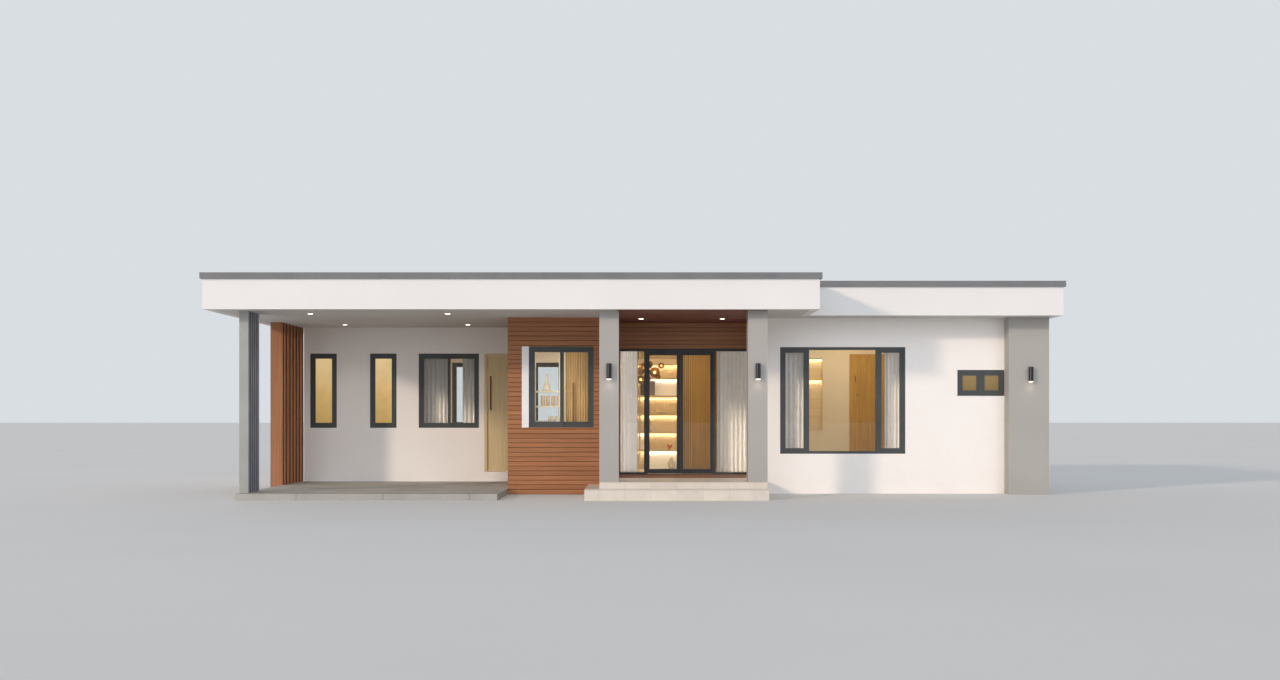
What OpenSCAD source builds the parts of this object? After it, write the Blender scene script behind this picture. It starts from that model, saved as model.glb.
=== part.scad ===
// One-storey house with a flat parapet roof, an open carport at the left,
// a timber-clad kitchen block, a recessed glazed entrance and a bedroom wing.
// The front faces -Y. The origin is under the middle of the roof, on the ground.
// Plan positions are taken from the left wall's outer face and from the front
// plane of the main fascia, and at_plan() then moves them to the origin.

/* [Roof] */
// Height of the soffit above the ground
soffit_z = 3300; // [3150:10:3500]
// Height of the white fascia band
fascia_h = 525; // [420:5:650]
// Thickness of the fascia and of the parapet behind it
fascia_t = 150; // [100:5:200]
// Height of the metal cap at its outer edge
cap_h = 105; // [80:5:140]
// How far the cap stands out past the fascia
cap_overhang = 40; // [25:5:70]
// How far the cap reaches past the inside of the parapet
cap_lap = 25; // [10:5:60]
// How much lower the cap is at its inner edge
cap_slope = 15; // [5:1:30]
// Open joint between two lengths of the cap
cap_joint = 5; // [3:1:10]
// Thickness of the roof deck at its front edge
deck_t = 240; // [200:10:300]
// How much thinner the deck is at its rear edge, so that it drains
deck_fall = 70; // [20:5:110]
// How far the roof runs past the left wall
roof_left = 570; // [350:10:800]
// How far the roof runs past the right wall
roof_right = 125; // [20:5:200]
// How far the roof runs past the rear wall
roof_rear = 300; // [100:10:600]
// How far the wing's fascia stands behind the main fascia
wing_roof_setback = 1500; // [900:5:1600]
// How far the main roof runs past the porch's right wall
main_roof_past_porch = 875; // [500:5:1400]

/* [Plan] */
// Width of the carport bay, from the left wall to the kitchen block
carport_w = 4500; // [4400:10:5200]
// Width of the kitchen block
kitchen_w = 2060; // [1900:10:2500]
// Width of the porch between its side walls
porch_w = 2635; // [2500:5:3000]
// Width of the bedroom wing
wing_w = 5390; // [5200:10:6200]
// Depth from the main fascia to the rear wall's outer face
house_depth = 10000; // [9400:50:11500]
// Depth from the main fascia to the wall behind the carport
carport_depth = 5000; // [4850:10:5300]
// Depth from the main fascia to the kitchen block's front
kitchen_setback = 2050; // [1900:10:2250]
// Depth from the main fascia to the glazed entrance
entry_setback = 3630; // [3400:10:3900]
// Depth from the main fascia to the wing's front wall
wing_setback = 2300; // [2250:10:2500]
// Thickness of the outer walls
wall_t = 150; // [130:5:200]

/* [Floors] */
// Height of the house floor and the porch above the ground
floor_z = 305; // [270:5:360]
// Height of the carport slab
slab_z = 110; // [60:5:150]
// Height of the lower entrance step
step_z = 190; // [150:5:220]
// Depth of the lower step's tread
tread = 300; // [260:5:400]
// Width of the lower step beside the platform
side_tread = 250; // [200:5:350]
// Joint between two floor slabs
floor_joint = 4; // [2:1:8]
// How far the carport slab stays behind the main fascia
slab_front = 60; // [0:10:300]

/* [Columns] */
// Width of the carport's blade column
blade_w = 160; // [140:5:220]
// Depth of the carport's blade column
blade_d = 710; // [500:10:900]
// How far the blade column stands out past the left wall
blade_out = 50; // [0:5:100]
// How far the blade column's front stands behind the main fascia
column_front = 410; // [380:5:500]
// Number of flutes down the blade column's inner side
flute_count = 4; // [2:1:6]
// Depth of a flute
flute_depth = 18; // [8:1:30]
// Share of the flutes' spacing that one flute takes up
flute_share = 0.6; // [0.4:0.05:0.7]
// Width of an entrance column
column_w = 340; // [300:5:380]
// How far the left entrance column reaches into the porch
column_lap = 40; // [0:5:80]
// Depth of an entrance column
column_d = 340; // [240:5:360]
// How far the entrance columns stand back from the platform's front edge
column_in = 10; // [0:5:60]
// Width of the corner pier
pier_w = 750; // [600:10:900]
// How far the corner pier stands out in front of the wing wall
pier_out = 330; // [200:5:400]

/* [Fin screen] */
// Number of timber fins
fin_count = 7; // [4:1:9]
// Width of a fin across the front
fin_w = 245; // [200:5:290]
// Thickness of a fin
fin_t = 80; // [50:5:100]
// Distance from one fin to the next
fin_pitch = 270; // [220:5:290]
// Gap between the fins and the left wall, which the carport slab fills
fin_gap = 30; // [20:5:80]
// Chamfer on a fin's upright edges
fin_chamfer = 6; // [3:1:10]

/* [Windows] */
// Height of the window and door heads above the ground
head_z = 2760; // [2680:5:2850]
// Face width of a window's outer frame
frame_face = 50; // [40:1:60]
// Depth of a window's outer frame
frame_d = 100; // [95:1:115]
// Face width of a sash
sash_face = 55; // [40:1:65]
// Depth of a sash
sash_d = 35; // [28:1:40]
// Gap between the two sashes of a sliding window
sash_play = 3; // [2:1:6]
// How far a frame stands back from the wall's face
frame_back = 12; // [5:1:25]
// Thickness of the glass
glass_t = 8; // [6:1:12]
// How far the glass reaches into its frame
glass_bite = 12; // [6:1:18]
// Distance from the left wall to the first slim window
slim_in = 130; // [60:5:200]
// Distance from the first slim window to the second, edge to edge
slim_pitch = 1240; // [900:5:1400]
// Distance from the second slim window to the sliding window
slide_pitch = 1010; // [800:5:1090]
// Width of a slim window
slim_w = 550; // [450:5:650]
// Width of a two-leaf sliding window
slide_w = 1250; // [1100:5:1350]
// Height of the sill under the carport's and the rear windows
sill_z = 1220; // [1000:5:1400]
// Distance from the kitchen block's left edge to its window
kitchen_window_in = 400; // [250:5:550]
// Width of the kitchen window
kitchen_window_w = 1205; // [1050:5:1300]
// Height of the sill under the kitchen window
kitchen_sill_z = 1250; // [1000:5:1400]
// Distance from the porch to the wing's large window
wing_window_in = 415; // [250:5:500]
// Width of the wing's large window
wing_window_w = 2360; // [2100:5:2600]
// Height of the sill under the wing's large window
wing_sill_z = 750; // [600:5:900]
// Width of a casement bay in the wing's large window
casement_w = 450; // [380:5:560]
// Distance from a side wall's front corner to its first window
side_window_in = 1200; // [800:10:1500]
// Distance between the windows of the left wall, edge to edge
left_window_pitch = 1800; // [1200:10:2500]
// Distance between the windows of the right wall, edge to edge
right_window_pitch = 3600; // [2400:10:4600]
// Width of the bathroom window
bath_window_w = 885; // [700:5:1000]
// Height of the bathroom window
bath_window_h = 490; // [400:5:700]
// Height of the sill under the bathroom window
bath_sill_z = 1840; // [1600:5:1900]

/* [Doors] */
// Width of the entrance doors' frame, both leaves
entry_door_w = 1420; // [1300:5:1500]
// Height of the entrance glazing's head above the ground
entry_head_z = 2790; // [2700:5:2880]
// Width of the fixed light at the left of the entrance doors
sidelight_w = 490; // [440:5:560]
// Face width of the entrance's frame
entry_face = 45; // [38:1:55]
// Depth of the entrance's frame
entry_frame_d = 100; // [90:1:120]
// Height of the entrance's threshold
threshold_h = 15; // [10:1:20]
// Face width of a door leaf's stile
stile_w = 56; // [45:1:70]
// Height of a glazed leaf's top rail
top_rail_h = 70; // [55:1:90]
// Height of a glazed leaf's bottom rail
bottom_rail_h = 85; // [70:1:130]
// Thickness of a door leaf
leaf_t = 45; // [38:1:50]
// Gap between a leaf's hinge edge and its jamb
hinge_gap = 8; // [8:1:12]
// Gap above and below a leaf
leaf_gap = 7; // [6:1:10]
// Gap between the two leaves of the entrance
meeting_gap = 11; // [10:1:14]
// How far a door stop reaches past the jamb's face
stop_reach = 16; // [13:1:20]
// Gap between a door stop and the closed leaf
stop_gap = 7; // [6:1:9]
// Width of the timber side door's frame
side_door_w = 760; // [740:5:860]
// Face width of the side door's frame
side_face = 40; // [32:1:50]
// Depth of the side door's frame
side_frame_d = 75; // [68:1:90]
// Diameter of the side door's bar pull
pull_d = 28; // [22:1:36]
// Length of the side door's bar pull
pull_len = 710; // [500:10:900]
// Distance from the pull's ends to the posts that carry it
pull_post_in = 90; // [60:5:150]

/* [Hinges] */
// Diameter of a hinge barrel
barrel_d = 16; // [12:1:20]
// Diameter of a hinge pin
hinge_pin_d = 8; // [6:1:9]
// Length of one knuckle
knuckle_h = 50; // [35:1:70]
// Thickness of a hinge plate
hinge_plate_t = 2; // [1.5:0.5:3]
// Width of a hinge plate on the edge of a door
hinge_plate_w = 30; // [22:1:36]
// Distance from a leaf's lower and upper edges to its outer hinges
hinge_inset = 180; // [120:5:300]

/* [Cladding] */
// Thickness of the timber cladding
cladding_t = 25; // [18:1:35]
// Thickness of the timber lining under the porch roof
lining_t = 20; // [12:1:30]
// Gap between the white board and the kitchen window
side_board_gap = 5; // [2:1:15]
// Width of the white board beside the kitchen window
side_board_w = 130; // [100:5:160]
// Thickness of the white board beside the kitchen window
side_board_t = 15; // [8:1:25]

/* [Lights] */
// Diameter of a wall light
wall_light_d = 90; // [70:1:110]
// Height of a wall light
wall_light_h = 260; // [200:5:300]
// Height of a wall light's lower end above the ground
wall_light_z = 2105; // [1900:5:2200]
// Length of the stem that holds a wall light off the wall
light_stem = 20; // [12:1:35]
// Distance from the corner pier's left edge to its wall light
pier_light_in = 395; // [200:5:550]
// Distance from the left wall to the carport's left downlights
carport_light_left = 1060; // [600:10:1500]
// Distance from the kitchen block to the carport's right downlights
carport_light_right = 980; // [600:10:1500]
// Distance from the fascia and from the rear wall to the carport's downlights
carport_light_rows = 1000; // [600:10:1600]
// Distance from the kitchen block to the porch's left downlight
porch_light_left = 430; // [250:5:700]
// Distance from the wing to the porch's right downlight
porch_light_right = 675; // [400:5:900]
// Distance from the glazed entrance to the porch's downlights
porch_light_row = 1330; // [800:10:1600]
// Diameter of a downlight
downlight_d = 110; // [90:1:140]
// How far a downlight's rim stands below the soffit
downlight_h = 10; // [6:1:16]

/* [Inside] */
// Depth from the main fascia to the lounge's lined wall
lounge_wall_y = 7000; // [6700:10:7300]
// Thickness of an inner wall
inner_wall_t = 100; // [80:5:120]
// Depth from the main fascia to the bedroom's inner wall
bedroom_wall_y = 5300; // [5250:10:5600]
// Length of the bedroom's inner wall
bedroom_wall_w = 3000; // [2600:10:3600]
// Width of the timber panel on the bedroom's inner wall
bedroom_panel_w = 740; // [600:5:800]
// Distance from the wing's large window's left edge to that panel
bedroom_panel_in = 1750; // [1500:10:1850]
// How far the lounge wall runs left past the porch
lounge_wall_left = 1310; // [900:10:1600]
// How far the display shelves run left past the porch
shelf_left = 490; // [300:10:700]
// Height of the lowest shelf above the floor
first_shelf = 395; // [300:5:450]
// Gap between a curtain and the wall that it hangs behind
curtain_gap = 60; // [40:5:90]
// Width of the display shelves
shelf_unit_w = 1780; // [1500:10:1900]
// Depth of the display shelves
shelf_d = 300; // [220:5:340]
// Thickness of a shelf board
shelf_t = 30; // [20:1:40]
// Distance from one shelf to the next
shelf_pitch = 397; // [360:1:420]
// Thickness of the timber panels on the inner walls
panel_t = 25; // [15:1:35]
// Thickness of a closed curtain, fold to fold
curtain_t = 70; // [50:1:90]
// Gap under the entrance's curtains
curtain_floor_gap = 20; // [10:5:60]
// How far the other curtains hang below their sill
curtain_below_sill = 120; // [60:10:200]
// Gap between an entrance curtain and the wall beside it
curtain_side_gap = 20; // [10:5:60]
// Gap between the entrance's left curtain and the doors
curtain_door_gap = 70; // [40:5:120]
// Gap between the entrance's right curtain and the doors
curtain_right_gap = 40; // [25:5:100]
// Width of the right curtain behind the carport's sliding window
slide_curtain_w = 370; // [280:10:450]
// How far the wing's curtains reach past their window
curtain_past_window = 30; // [10:5:60]
// How far the wing's left curtain reaches into its window
left_curtain_w = 500; // [400:10:580]
// How far the wing's right curtain reaches into its window
right_curtain_w = 430; // [350:10:520]
// Width of the niche in the bedroom's inner wall
niche_w = 430; // [300:10:500]
// Height of the niche in the bedroom's inner wall
niche_h = 1520; // [1200:10:1700]
// Depth of the niche in the bedroom's inner wall
niche_d = 70; // [40:5:75]
// Height of the niche's foot above the ground
niche_z = 1160; // [900:10:1300]
// Distance from the wing's large window's left edge to the niche's right edge
niche_in = 1190; // [1000:10:1300]

/* [Hidden] */
$fn = 48;
// How far a cutting shape runs past the faces that it cuts
cut = 5;

// Plan lines along X, from the left wall's outer face
kitchen_x = carport_w;
porch_x = kitchen_x + kitchen_w;
wing_x = porch_x + porch_w;
house_w = wing_x + wing_w;
roof_x0 = -roof_left;
roof_x1 = house_w + roof_right;
main_roof_x1 = wing_x + main_roof_past_porch;
pier_x = house_w - pier_w;
// Plan lines along Y, from the main fascia's front
roof_y1 = house_depth + roof_rear;
rear_inner_y = house_depth - wall_t;
room_y = carport_depth + wall_t;
pier_y = wing_setback - pier_out;
wing_inner_y = wing_setback + wall_t;
entry_inner_y = entry_setback + wall_t;
fascia_top = soffit_z + fascia_h;
// Faces of the walls behind the timber cladding
kitchen_wall_x0 = kitchen_x + cladding_t;
kitchen_wall_x1 = porch_x - cladding_t;
kitchen_wall_y = kitchen_setback + cladding_t;
centre_x = (roof_x0 + roof_x1) / 2;
centre_y = roof_y1 / 2;

// Entrance columns and platform
left_column_x = porch_x + column_lap - column_w;
right_column_x = wing_x - column_w;
entry_column_y = tread + column_in;
platform_x = left_column_x;

// Windows along the walls, each as
// [group, side, start along the wall, depth of the face, sill, width, height, kind]
slim_h = head_z - sill_z;
slim_xs = [slim_in, slim_in + slim_pitch];
carport_slide_x = slim_xs[1] + slide_pitch;
side_door_x = kitchen_x - side_door_w;
kitchen_window_x = kitchen_x + kitchen_window_in;
wing_window_x = wing_x + wing_window_in;
bath_window_x = pier_x - bath_window_w;
rear_window_xs = [2430, 4400, 7250, 10300, 12600];
left_slim_ys = [for (i = [0, 1]) room_y + side_window_in + i * left_window_pitch];
right_slim_ys = [for (i = [0, 1]) wing_inner_y + side_window_in + i * right_window_pitch];
windows = concat(
    [for (x = slim_xs)
        ["carport", "front", x, carport_depth, sill_z, slim_w, slim_h, "slim"]],
    [["carport", "front", carport_slide_x, carport_depth, sill_z, slide_w, slim_h, "slide"]],
    [["kitchen", "front", kitchen_window_x, kitchen_setback, kitchen_sill_z,
        kitchen_window_w, head_z - kitchen_sill_z, "slide"]],
    [["wing", "front", wing_window_x, wing_setback, wing_sill_z,
        wing_window_w, head_z - wing_sill_z, "triple"]],
    [["bath", "front", bath_window_x, wing_setback, bath_sill_z,
        bath_window_w, bath_window_h, "twin"]],
    [for (x = rear_window_xs)
        ["rear", "rear", x, house_depth, sill_z, slide_w, slim_h, "slide"]],
    [for (y = left_slim_ys) ["left", "left", y, 0, sill_z, slim_w, slim_h, "slim"]],
    [for (y = right_slim_ys) ["right", "right", y, house_w, sill_z, slim_w, slim_h, "slim"]]);

// Distance from a window's outer edge to the clear glass of a sash
glass_edge = frame_face + sash_face;
meeting_face = sash_face;
sash_y = 15;
inner_sash_y = sash_y + sash_d + sash_play;
mullion_w = frame_face;
bath_mullion_w = 45;

// Entrance doors
entry_door_x = porch_x + sidelight_w;
entry_leaf_w = (entry_door_w - 2 * entry_face - 2 * hinge_gap - meeting_gap) / 2;
leaf_z = floor_z + threshold_h + leaf_gap;
entry_leaf_h = entry_head_z - entry_face - leaf_gap - leaf_z;
entry_hinge_y = entry_setback + entry_frame_d;
entry_leaf_y = entry_hinge_y - leaf_t;
// Side door, whose frame stands at the outer face of its wall
side_leaf_w = side_door_w - 2 * side_face - 2 * hinge_gap;
side_leaf_h = head_z - side_face - leaf_gap - leaf_z;
side_leaf_y = carport_depth + side_frame_d - leaf_t;
pull_z = 1585;
pull_from_edge = 85;
pull_standoff = 40;
pull_post_d = 16;
// Play all round a hinge pin, and the gap between two knuckles
pin_play = 0.05;
knuckle_gap = 1;
// How far a pin's end stays below the top of the upper knuckle
pin_end = 5;
// A hinge's axis stands behind the leaf's inner face by the barrel's radius
axis_out = barrel_d / 2;

// Moves a shape from the plan lines to the origin
module at_plan() {
    translate([-centre_x, -centre_y, 0]) children();
}

// Upright block between two corners of the plan and two heights
module block(x0, x1, y0, y1, z0, z1) {
    translate([x0, y0, z0]) cube([x1 - x0, y1 - y0, z1 - z0]);
}

// Frame of four bars that stands in the XZ plane, with its front at y = 0
module ring(w, h, face, d) {
    difference() {
        cube([w, d, h]);
        translate([face, -cut, face]) cube([w - 2 * face, d + 2 * cut, h - 2 * face]);
    }
}

// Turns and moves a window so that it faces out of its wall
module in_wall(win, back) {
    side = win[1];
    along = win[2];
    face = win[3];
    if (side == "front") translate([along, face + back, win[4]]) children();
    if (side == "rear") translate([along + win[5], face - back, win[4]]) rotate([0, 0, 180]) children();
    if (side == "left") translate([face + back, along + win[5], win[4]]) rotate([0, 0, -90]) children();
    if (side == "right") translate([face - back, along, win[4]]) rotate([0, 0, 90]) children();
}

// Openings that a group of windows leaves in its wall
module window_holes(group) {
    for (win = windows) {
        if (win[0] == group) {
            in_wall(win, -cut) cube([win[5], wall_t + cladding_t + 2 * cut, win[6]]);
        }
    }
}

// Clear glass of a window, each pane as [x, z, width, height, depth]
function pane_y(sash) = sash + (sash_d - glass_t) / 2;
function panes(kind, w, h) =
    let (tall = h - 2 * glass_edge)
    kind == "slim" ? [[glass_edge, glass_edge, w - 2 * glass_edge, tall, pane_y(sash_y)]] :
    kind == "slide" ? [
        [glass_edge, glass_edge, (w - meeting_face) / 2 - glass_edge, tall, pane_y(sash_y)],
        [(w + meeting_face) / 2, glass_edge, (w - meeting_face) / 2 - glass_edge, tall,
            pane_y(inner_sash_y)]] :
    kind == "twin" ? [for (x = [glass_edge, (w + bath_mullion_w) / 2 + sash_face])
        [x, glass_edge, (w - bath_mullion_w) / 2 - glass_edge - sash_face, tall, pane_y(sash_y)]] :
    concat(
        [for (x = [glass_edge, w - frame_face - casement_w + sash_face])
            [x, glass_edge, casement_w - 2 * sash_face, tall, pane_y(sash_y)]],
        [[frame_face + casement_w + mullion_w, frame_face,
            w - 2 * (frame_face + casement_w + mullion_w), h - 2 * frame_face, pane_y(sash_y)]]);

// Glass of a window, with the edges that sit in the frame's grooves
module window_panes(kind, w, h) {
    for (pane = panes(kind, w, h)) {
        translate([pane[0] - glass_bite, pane[4], pane[1] - glass_bite])
            cube([pane[2] + 2 * glass_bite, glass_t, pane[3] + 2 * glass_bite]);
    }
}

// One sash between two edges of the window
module sash(x0, x1, h, y) {
    translate([x0, y, frame_face]) ring(x1 - x0, h - 2 * frame_face, sash_face, sash_d);
}

// Frame, mullions and sashes of a window, grooved for the glass
module window_frame(kind, w, h) {
    difference() {
        union() {
            ring(w, h, frame_face, frame_d);
            if (kind == "slim") sash(frame_face, w - frame_face, h, sash_y);
            if (kind == "slide") {
                sash(frame_face, (w + meeting_face) / 2, h, sash_y);
                sash((w - meeting_face) / 2, w - frame_face, h, inner_sash_y);
            }
            if (kind == "twin") {
                block((w - bath_mullion_w) / 2, (w + bath_mullion_w) / 2, 0, frame_d, 0, h);
                sash(frame_face, (w - bath_mullion_w) / 2, h, sash_y);
                sash((w + bath_mullion_w) / 2, w - frame_face, h, sash_y);
            }
            if (kind == "triple") {
                for (x = [frame_face + casement_w, w - frame_face - casement_w - mullion_w]) {
                    block(x, x + mullion_w, 0, frame_d, 0, h);
                }
                sash(frame_face, frame_face + casement_w, h, sash_y);
                sash(w - frame_face - casement_w, w - frame_face, h, sash_y);
            }
        }
        window_panes(kind, w, h);
    }
}

// Frames of the windows in the named groups
module frames_of(groups) {
    for (win = windows, group = groups) {
        if (win[0] == group) {
            in_wall(win, frame_back) window_frame(win[7], win[5], win[6]);
        }
    }
}

module carport_slab() {
    color("silver") at_plan()
        block(-fin_gap, kitchen_x, slab_front, carport_depth, 0, slab_z);
}

// Floor inside the walls, in four slabs with joints between them
module house_floor() {
    inner_x1 = house_w - wall_t;
    wing_inner_x = wing_x + wall_t;
    front_edge = room_y - floor_joint;
    color("tan") at_plan() {
        block(wall_t, inner_x1, room_y, rear_inner_y, 0, floor_z);
        block(kitchen_wall_x0 + wall_t, kitchen_wall_x1 - wall_t - floor_joint,
            kitchen_wall_y + wall_t, front_edge, 0, floor_z);
        block(kitchen_wall_x1 - wall_t, wing_inner_x - floor_joint, entry_inner_y, front_edge, 0, floor_z);
        block(wing_inner_x, inner_x1, wing_inner_y, front_edge, 0, floor_z);
    }
}

// Lower step, which turns round the platform's left end
module entry_lower_step() {
    color("antiquewhite") at_plan() {
        linear_extrude(step_z) polygon([
            [platform_x - side_tread, 0], [wing_x, 0], [wing_x, tread], [platform_x, tread],
            [platform_x, kitchen_setback], [platform_x - side_tread, kitchen_setback]]);
    }
}

module entry_platform() {
    color("antiquewhite") at_plan()
        block(platform_x, wing_x, tread, kitchen_setback, 0, floor_z);
}

// Boarded floor between the platform and the glazed entrance
module porch_floor() {
    color("sienna") at_plan()
        block(porch_x, wing_x, kitchen_setback, entry_inner_y, 0, floor_z);
}

// Blade column, with flutes down the side that faces the carport
module carport_column() {
    x1 = blade_w - blade_out;
    pitch = blade_d / (flute_count + 1);
    half_flute = pitch * flute_share / 2;
    color("darkgray") at_plan() {
        difference() {
            block(-blade_out, x1, column_front, column_front + blade_d, slab_z, soffit_z);
            for (i = [1 : flute_count]) {
                middle = column_front + i * pitch;
                block(x1 - flute_depth, x1 + cut, middle - half_flute, middle + half_flute,
                    slab_z - cut, soffit_z + cut);
            }
        }
    }
}

// Upright timber fins beside the carport
module fin_screen() {
    last_y = carport_depth;
    c = fin_chamfer;
    color("sienna") at_plan() {
        for (i = [0 : fin_count - 1]) {
            translate([-fin_gap - fin_w, last_y - i * fin_pitch, 0])
                linear_extrude(soffit_z) polygon([
                    [c, 0], [fin_w - c, 0], [fin_w, c], [fin_w, fin_t - c],
                    [fin_w - c, fin_t], [c, fin_t], [0, fin_t - c], [0, c]]);
        }
    }
}

module entry_columns() {
    color("darkgray") at_plan() {
        for (x = [left_column_x, right_column_x]) {
            block(x, x + column_w, entry_column_y, entry_column_y + column_d, floor_z, soffit_z);
        }
    }
}

// Pier at the wing's corner, as deep as the wing wall and its own projection
module corner_pier() {
    color("darkgray") at_plan()
        block(pier_x, house_w, pier_y, wing_inner_y, 0, soffit_z);
}

module carport_rear_wall() {
    color("whitesmoke") at_plan() {
        difference() {
            block(0, side_door_x, carport_depth, room_y, 0, soffit_z);
            window_holes("carport");
        }
    }
}

// Wall over the side door, and the sill wall under it
module side_door_wall() {
    color("whitesmoke") at_plan() {
        block(side_door_x, kitchen_x, carport_depth, room_y, head_z, soffit_z);
        block(side_door_x, kitchen_x, carport_depth, room_y, 0, floor_z);
    }
}

module left_wall() {
    color("whitesmoke") at_plan() {
        difference() {
            block(0, wall_t, room_y, rear_inner_y, 0, soffit_z);
            window_holes("left");
        }
    }
}

module right_wall() {
    color("whitesmoke") at_plan() {
        difference() {
            block(house_w - wall_t, house_w, wing_inner_y, rear_inner_y, 0, soffit_z);
            window_holes("right");
        }
    }
}

module rear_wall() {
    color("whitesmoke") at_plan() {
        difference() {
            block(0, house_w, rear_inner_y, house_depth, 0, soffit_z);
            window_holes("rear");
        }
    }
}

// Wall between the carport and the kitchen
module kitchen_side_wall() {
    color("whitesmoke") at_plan()
        block(kitchen_wall_x0, kitchen_wall_x0 + wall_t, kitchen_wall_y + wall_t, room_y, 0, soffit_z);
}

module kitchen_front_wall() {
    color("whitesmoke") at_plan() {
        difference() {
            block(kitchen_wall_x0, kitchen_wall_x1, kitchen_wall_y, kitchen_wall_y + wall_t,
                0, soffit_z);
            window_holes("kitchen");
        }
    }
}

// Timber cladding on the kitchen block's front, carport side and porch side, where it
// makes room for the outer post of the glazed entrance
module kitchen_cladding() {
    joint = 1;
    color("sienna") at_plan() {
        difference() {
            block(kitchen_x, porch_x, kitchen_setback, kitchen_wall_y, 0, soffit_z);
            window_holes("kitchen");
        }
        block(kitchen_x, kitchen_wall_x0, kitchen_wall_y + joint, room_y, 0, soffit_z);
        difference() {
            block(kitchen_wall_x1, porch_x, kitchen_wall_y + joint, entry_inner_y, 0, soffit_z);
            block(kitchen_wall_x1 - cut, porch_x + cut, entry_setback, entry_inner_y + cut,
                floor_z, soffit_z + cut);
        }
    }
}

// Flat white board beside the kitchen window
module window_side_board() {
    board_x = kitchen_window_x - side_board_gap - side_board_w;
    color("white") at_plan()
        block(board_x, board_x + side_board_w, kitchen_setback - side_board_t, kitchen_setback,
            kitchen_sill_z - side_board_gap, head_z);
}

// Side walls of the porch recess
module porch_side_walls() {
    color("whitesmoke") at_plan() {
        block(kitchen_wall_x1 - wall_t, kitchen_wall_x1, kitchen_wall_y + wall_t, entry_inner_y,
            0, soffit_z);
        block(wing_x, wing_x + wall_t, wing_inner_y, entry_inner_y, 0, soffit_z);
    }
}

// Timber-faced wall over the glazed entrance
module entry_head_wall() {
    color("sienna") at_plan()
        block(kitchen_wall_x1, wing_x, entry_setback, entry_inner_y, entry_head_z, soffit_z);
}

// Wing's front wall at both sides of its large window
module wing_wall_piers() {
    window_x1 = wing_window_x + wing_window_w;
    color("whitesmoke") at_plan() {
        block(wing_x, wing_window_x, wing_setback, wing_inner_y, 0, soffit_z);
        difference() {
            block(window_x1, pier_x, wing_setback, wing_inner_y, 0, soffit_z);
            window_holes("bath");
        }
    }
}

// Wing's front wall under and over its large window
module wing_wall_bands() {
    window_x1 = wing_window_x + wing_window_w;
    color("whitesmoke") at_plan() {
        block(wing_window_x, window_x1, wing_setback, wing_inner_y, 0, wing_sill_z);
        block(wing_window_x, window_x1, wing_setback, wing_inner_y, head_z, soffit_z);
    }
}

// Deck with a level underside and a top that falls to the rear
module deck(x0, x1, y0, y1) {
    function top_at(y) = soffit_z + deck_t - deck_fall * y / roof_y1;
    translate([x0, 0, 0]) rotate([90, 0, 90]) linear_extrude(x1 - x0)
        polygon([[y0, soffit_z], [y1, soffit_z], [y1, top_at(y1)], [y0, top_at(y0)]]);
}

module main_roof_deck() {
    color("gainsboro") at_plan() {
        difference() {
            deck(roof_x0 + fascia_t, main_roof_x1 - fascia_t, fascia_t, roof_y1 - fascia_t);
            block(porch_x, wing_x, fascia_t - cut, entry_setback, soffit_z - cut, soffit_z + lining_t);
        }
    }
}

module wing_roof_deck() {
    color("gainsboro") at_plan()
        deck(main_roof_x1 - fascia_t, roof_x1 - fascia_t, wing_roof_setback + fascia_t,
            roof_y1 - fascia_t);
}

// Timber lining let into the deck over the porch
module porch_soffit() {
    color("saddlebrown") at_plan()
        block(porch_x, wing_x, fascia_t, entry_setback, soffit_z, soffit_z + lining_t);
}

// Front bands of the main roof and of the wing
module front_fascia() {
    color("white") at_plan() {
        block(roof_x0, main_roof_x1, 0, fascia_t, soffit_z, fascia_top);
        block(main_roof_x1, roof_x1, wing_roof_setback, wing_roof_setback + fascia_t,
            soffit_z, fascia_top);
    }
}

// Left and right bands, and the short return where the roof steps back
module side_fascias() {
    color("white") at_plan() {
        block(roof_x0, roof_x0 + fascia_t, fascia_t, roof_y1 - fascia_t, soffit_z, fascia_top);
        block(main_roof_x1 - fascia_t, main_roof_x1, fascia_t, wing_roof_setback + fascia_t,
            soffit_z, fascia_top);
        block(roof_x1 - fascia_t, roof_x1, wing_roof_setback + fascia_t, roof_y1 - fascia_t,
            soffit_z, fascia_top);
    }
}

module rear_fascia() {
    color("white") at_plan()
        block(roof_x0, roof_x1, roof_y1 - fascia_t, roof_y1, soffit_z, fascia_top);
}

// Corners of the roof's outline, and the way that each moves as the outline grows
roof_corners = [[roof_x0, 0], [main_roof_x1, 0], [main_roof_x1, wing_roof_setback],
    [roof_x1, wing_roof_setback], [roof_x1, roof_y1], [roof_x0, roof_y1]];
corner_ways = [[-1, -1], [1, -1], [1, -1], [1, -1], [1, 1], [-1, 1]];
function corner(i, out) = roof_corners[i % 6] + out * corner_ways[i % 6];

// Section of the cap, as [distance out from the fascia, height]
drip_w = 8;
drip_from_edge = 10;
cap_section = [
    [cap_overhang, 0], [cap_overhang, cap_h], [-fascia_t - cap_lap, cap_h - cap_slope],
    [-fascia_t - cap_lap, 0], [cap_overhang - drip_from_edge - drip_w, 0],
    [cap_overhang - drip_from_edge - drip_w, drip_w], [cap_overhang - drip_from_edge, drip_w],
    [cap_overhang - drip_from_edge, 0]];

// One length of the cap, mitred at both ends
module cap_run(i) {
    start = corner(i, 0);
    run = corner(i + 1, 0) - start;
    way = run / norm(run);
    gap = way * cap_joint / 2;
    inside = -fascia_t - cap_lap;
    reach = cap_overhang + fascia_t + cap_lap;
    intersection() {
        linear_extrude(cap_h) polygon([
            corner(i, cap_overhang) + gap, corner(i + 1, cap_overhang) - gap,
            corner(i + 1, inside) - gap, corner(i, inside) + gap]);
        translate([start[0], start[1], 0]) rotate([0, 0, atan2(run[1], run[0])])
            translate([-reach, 0, 0]) rotate([90, 0, 90]) linear_extrude(norm(run) + 2 * reach)
                polygon([for (p = cap_section) [-p[0], p[1]]]);
    }
}

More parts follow.
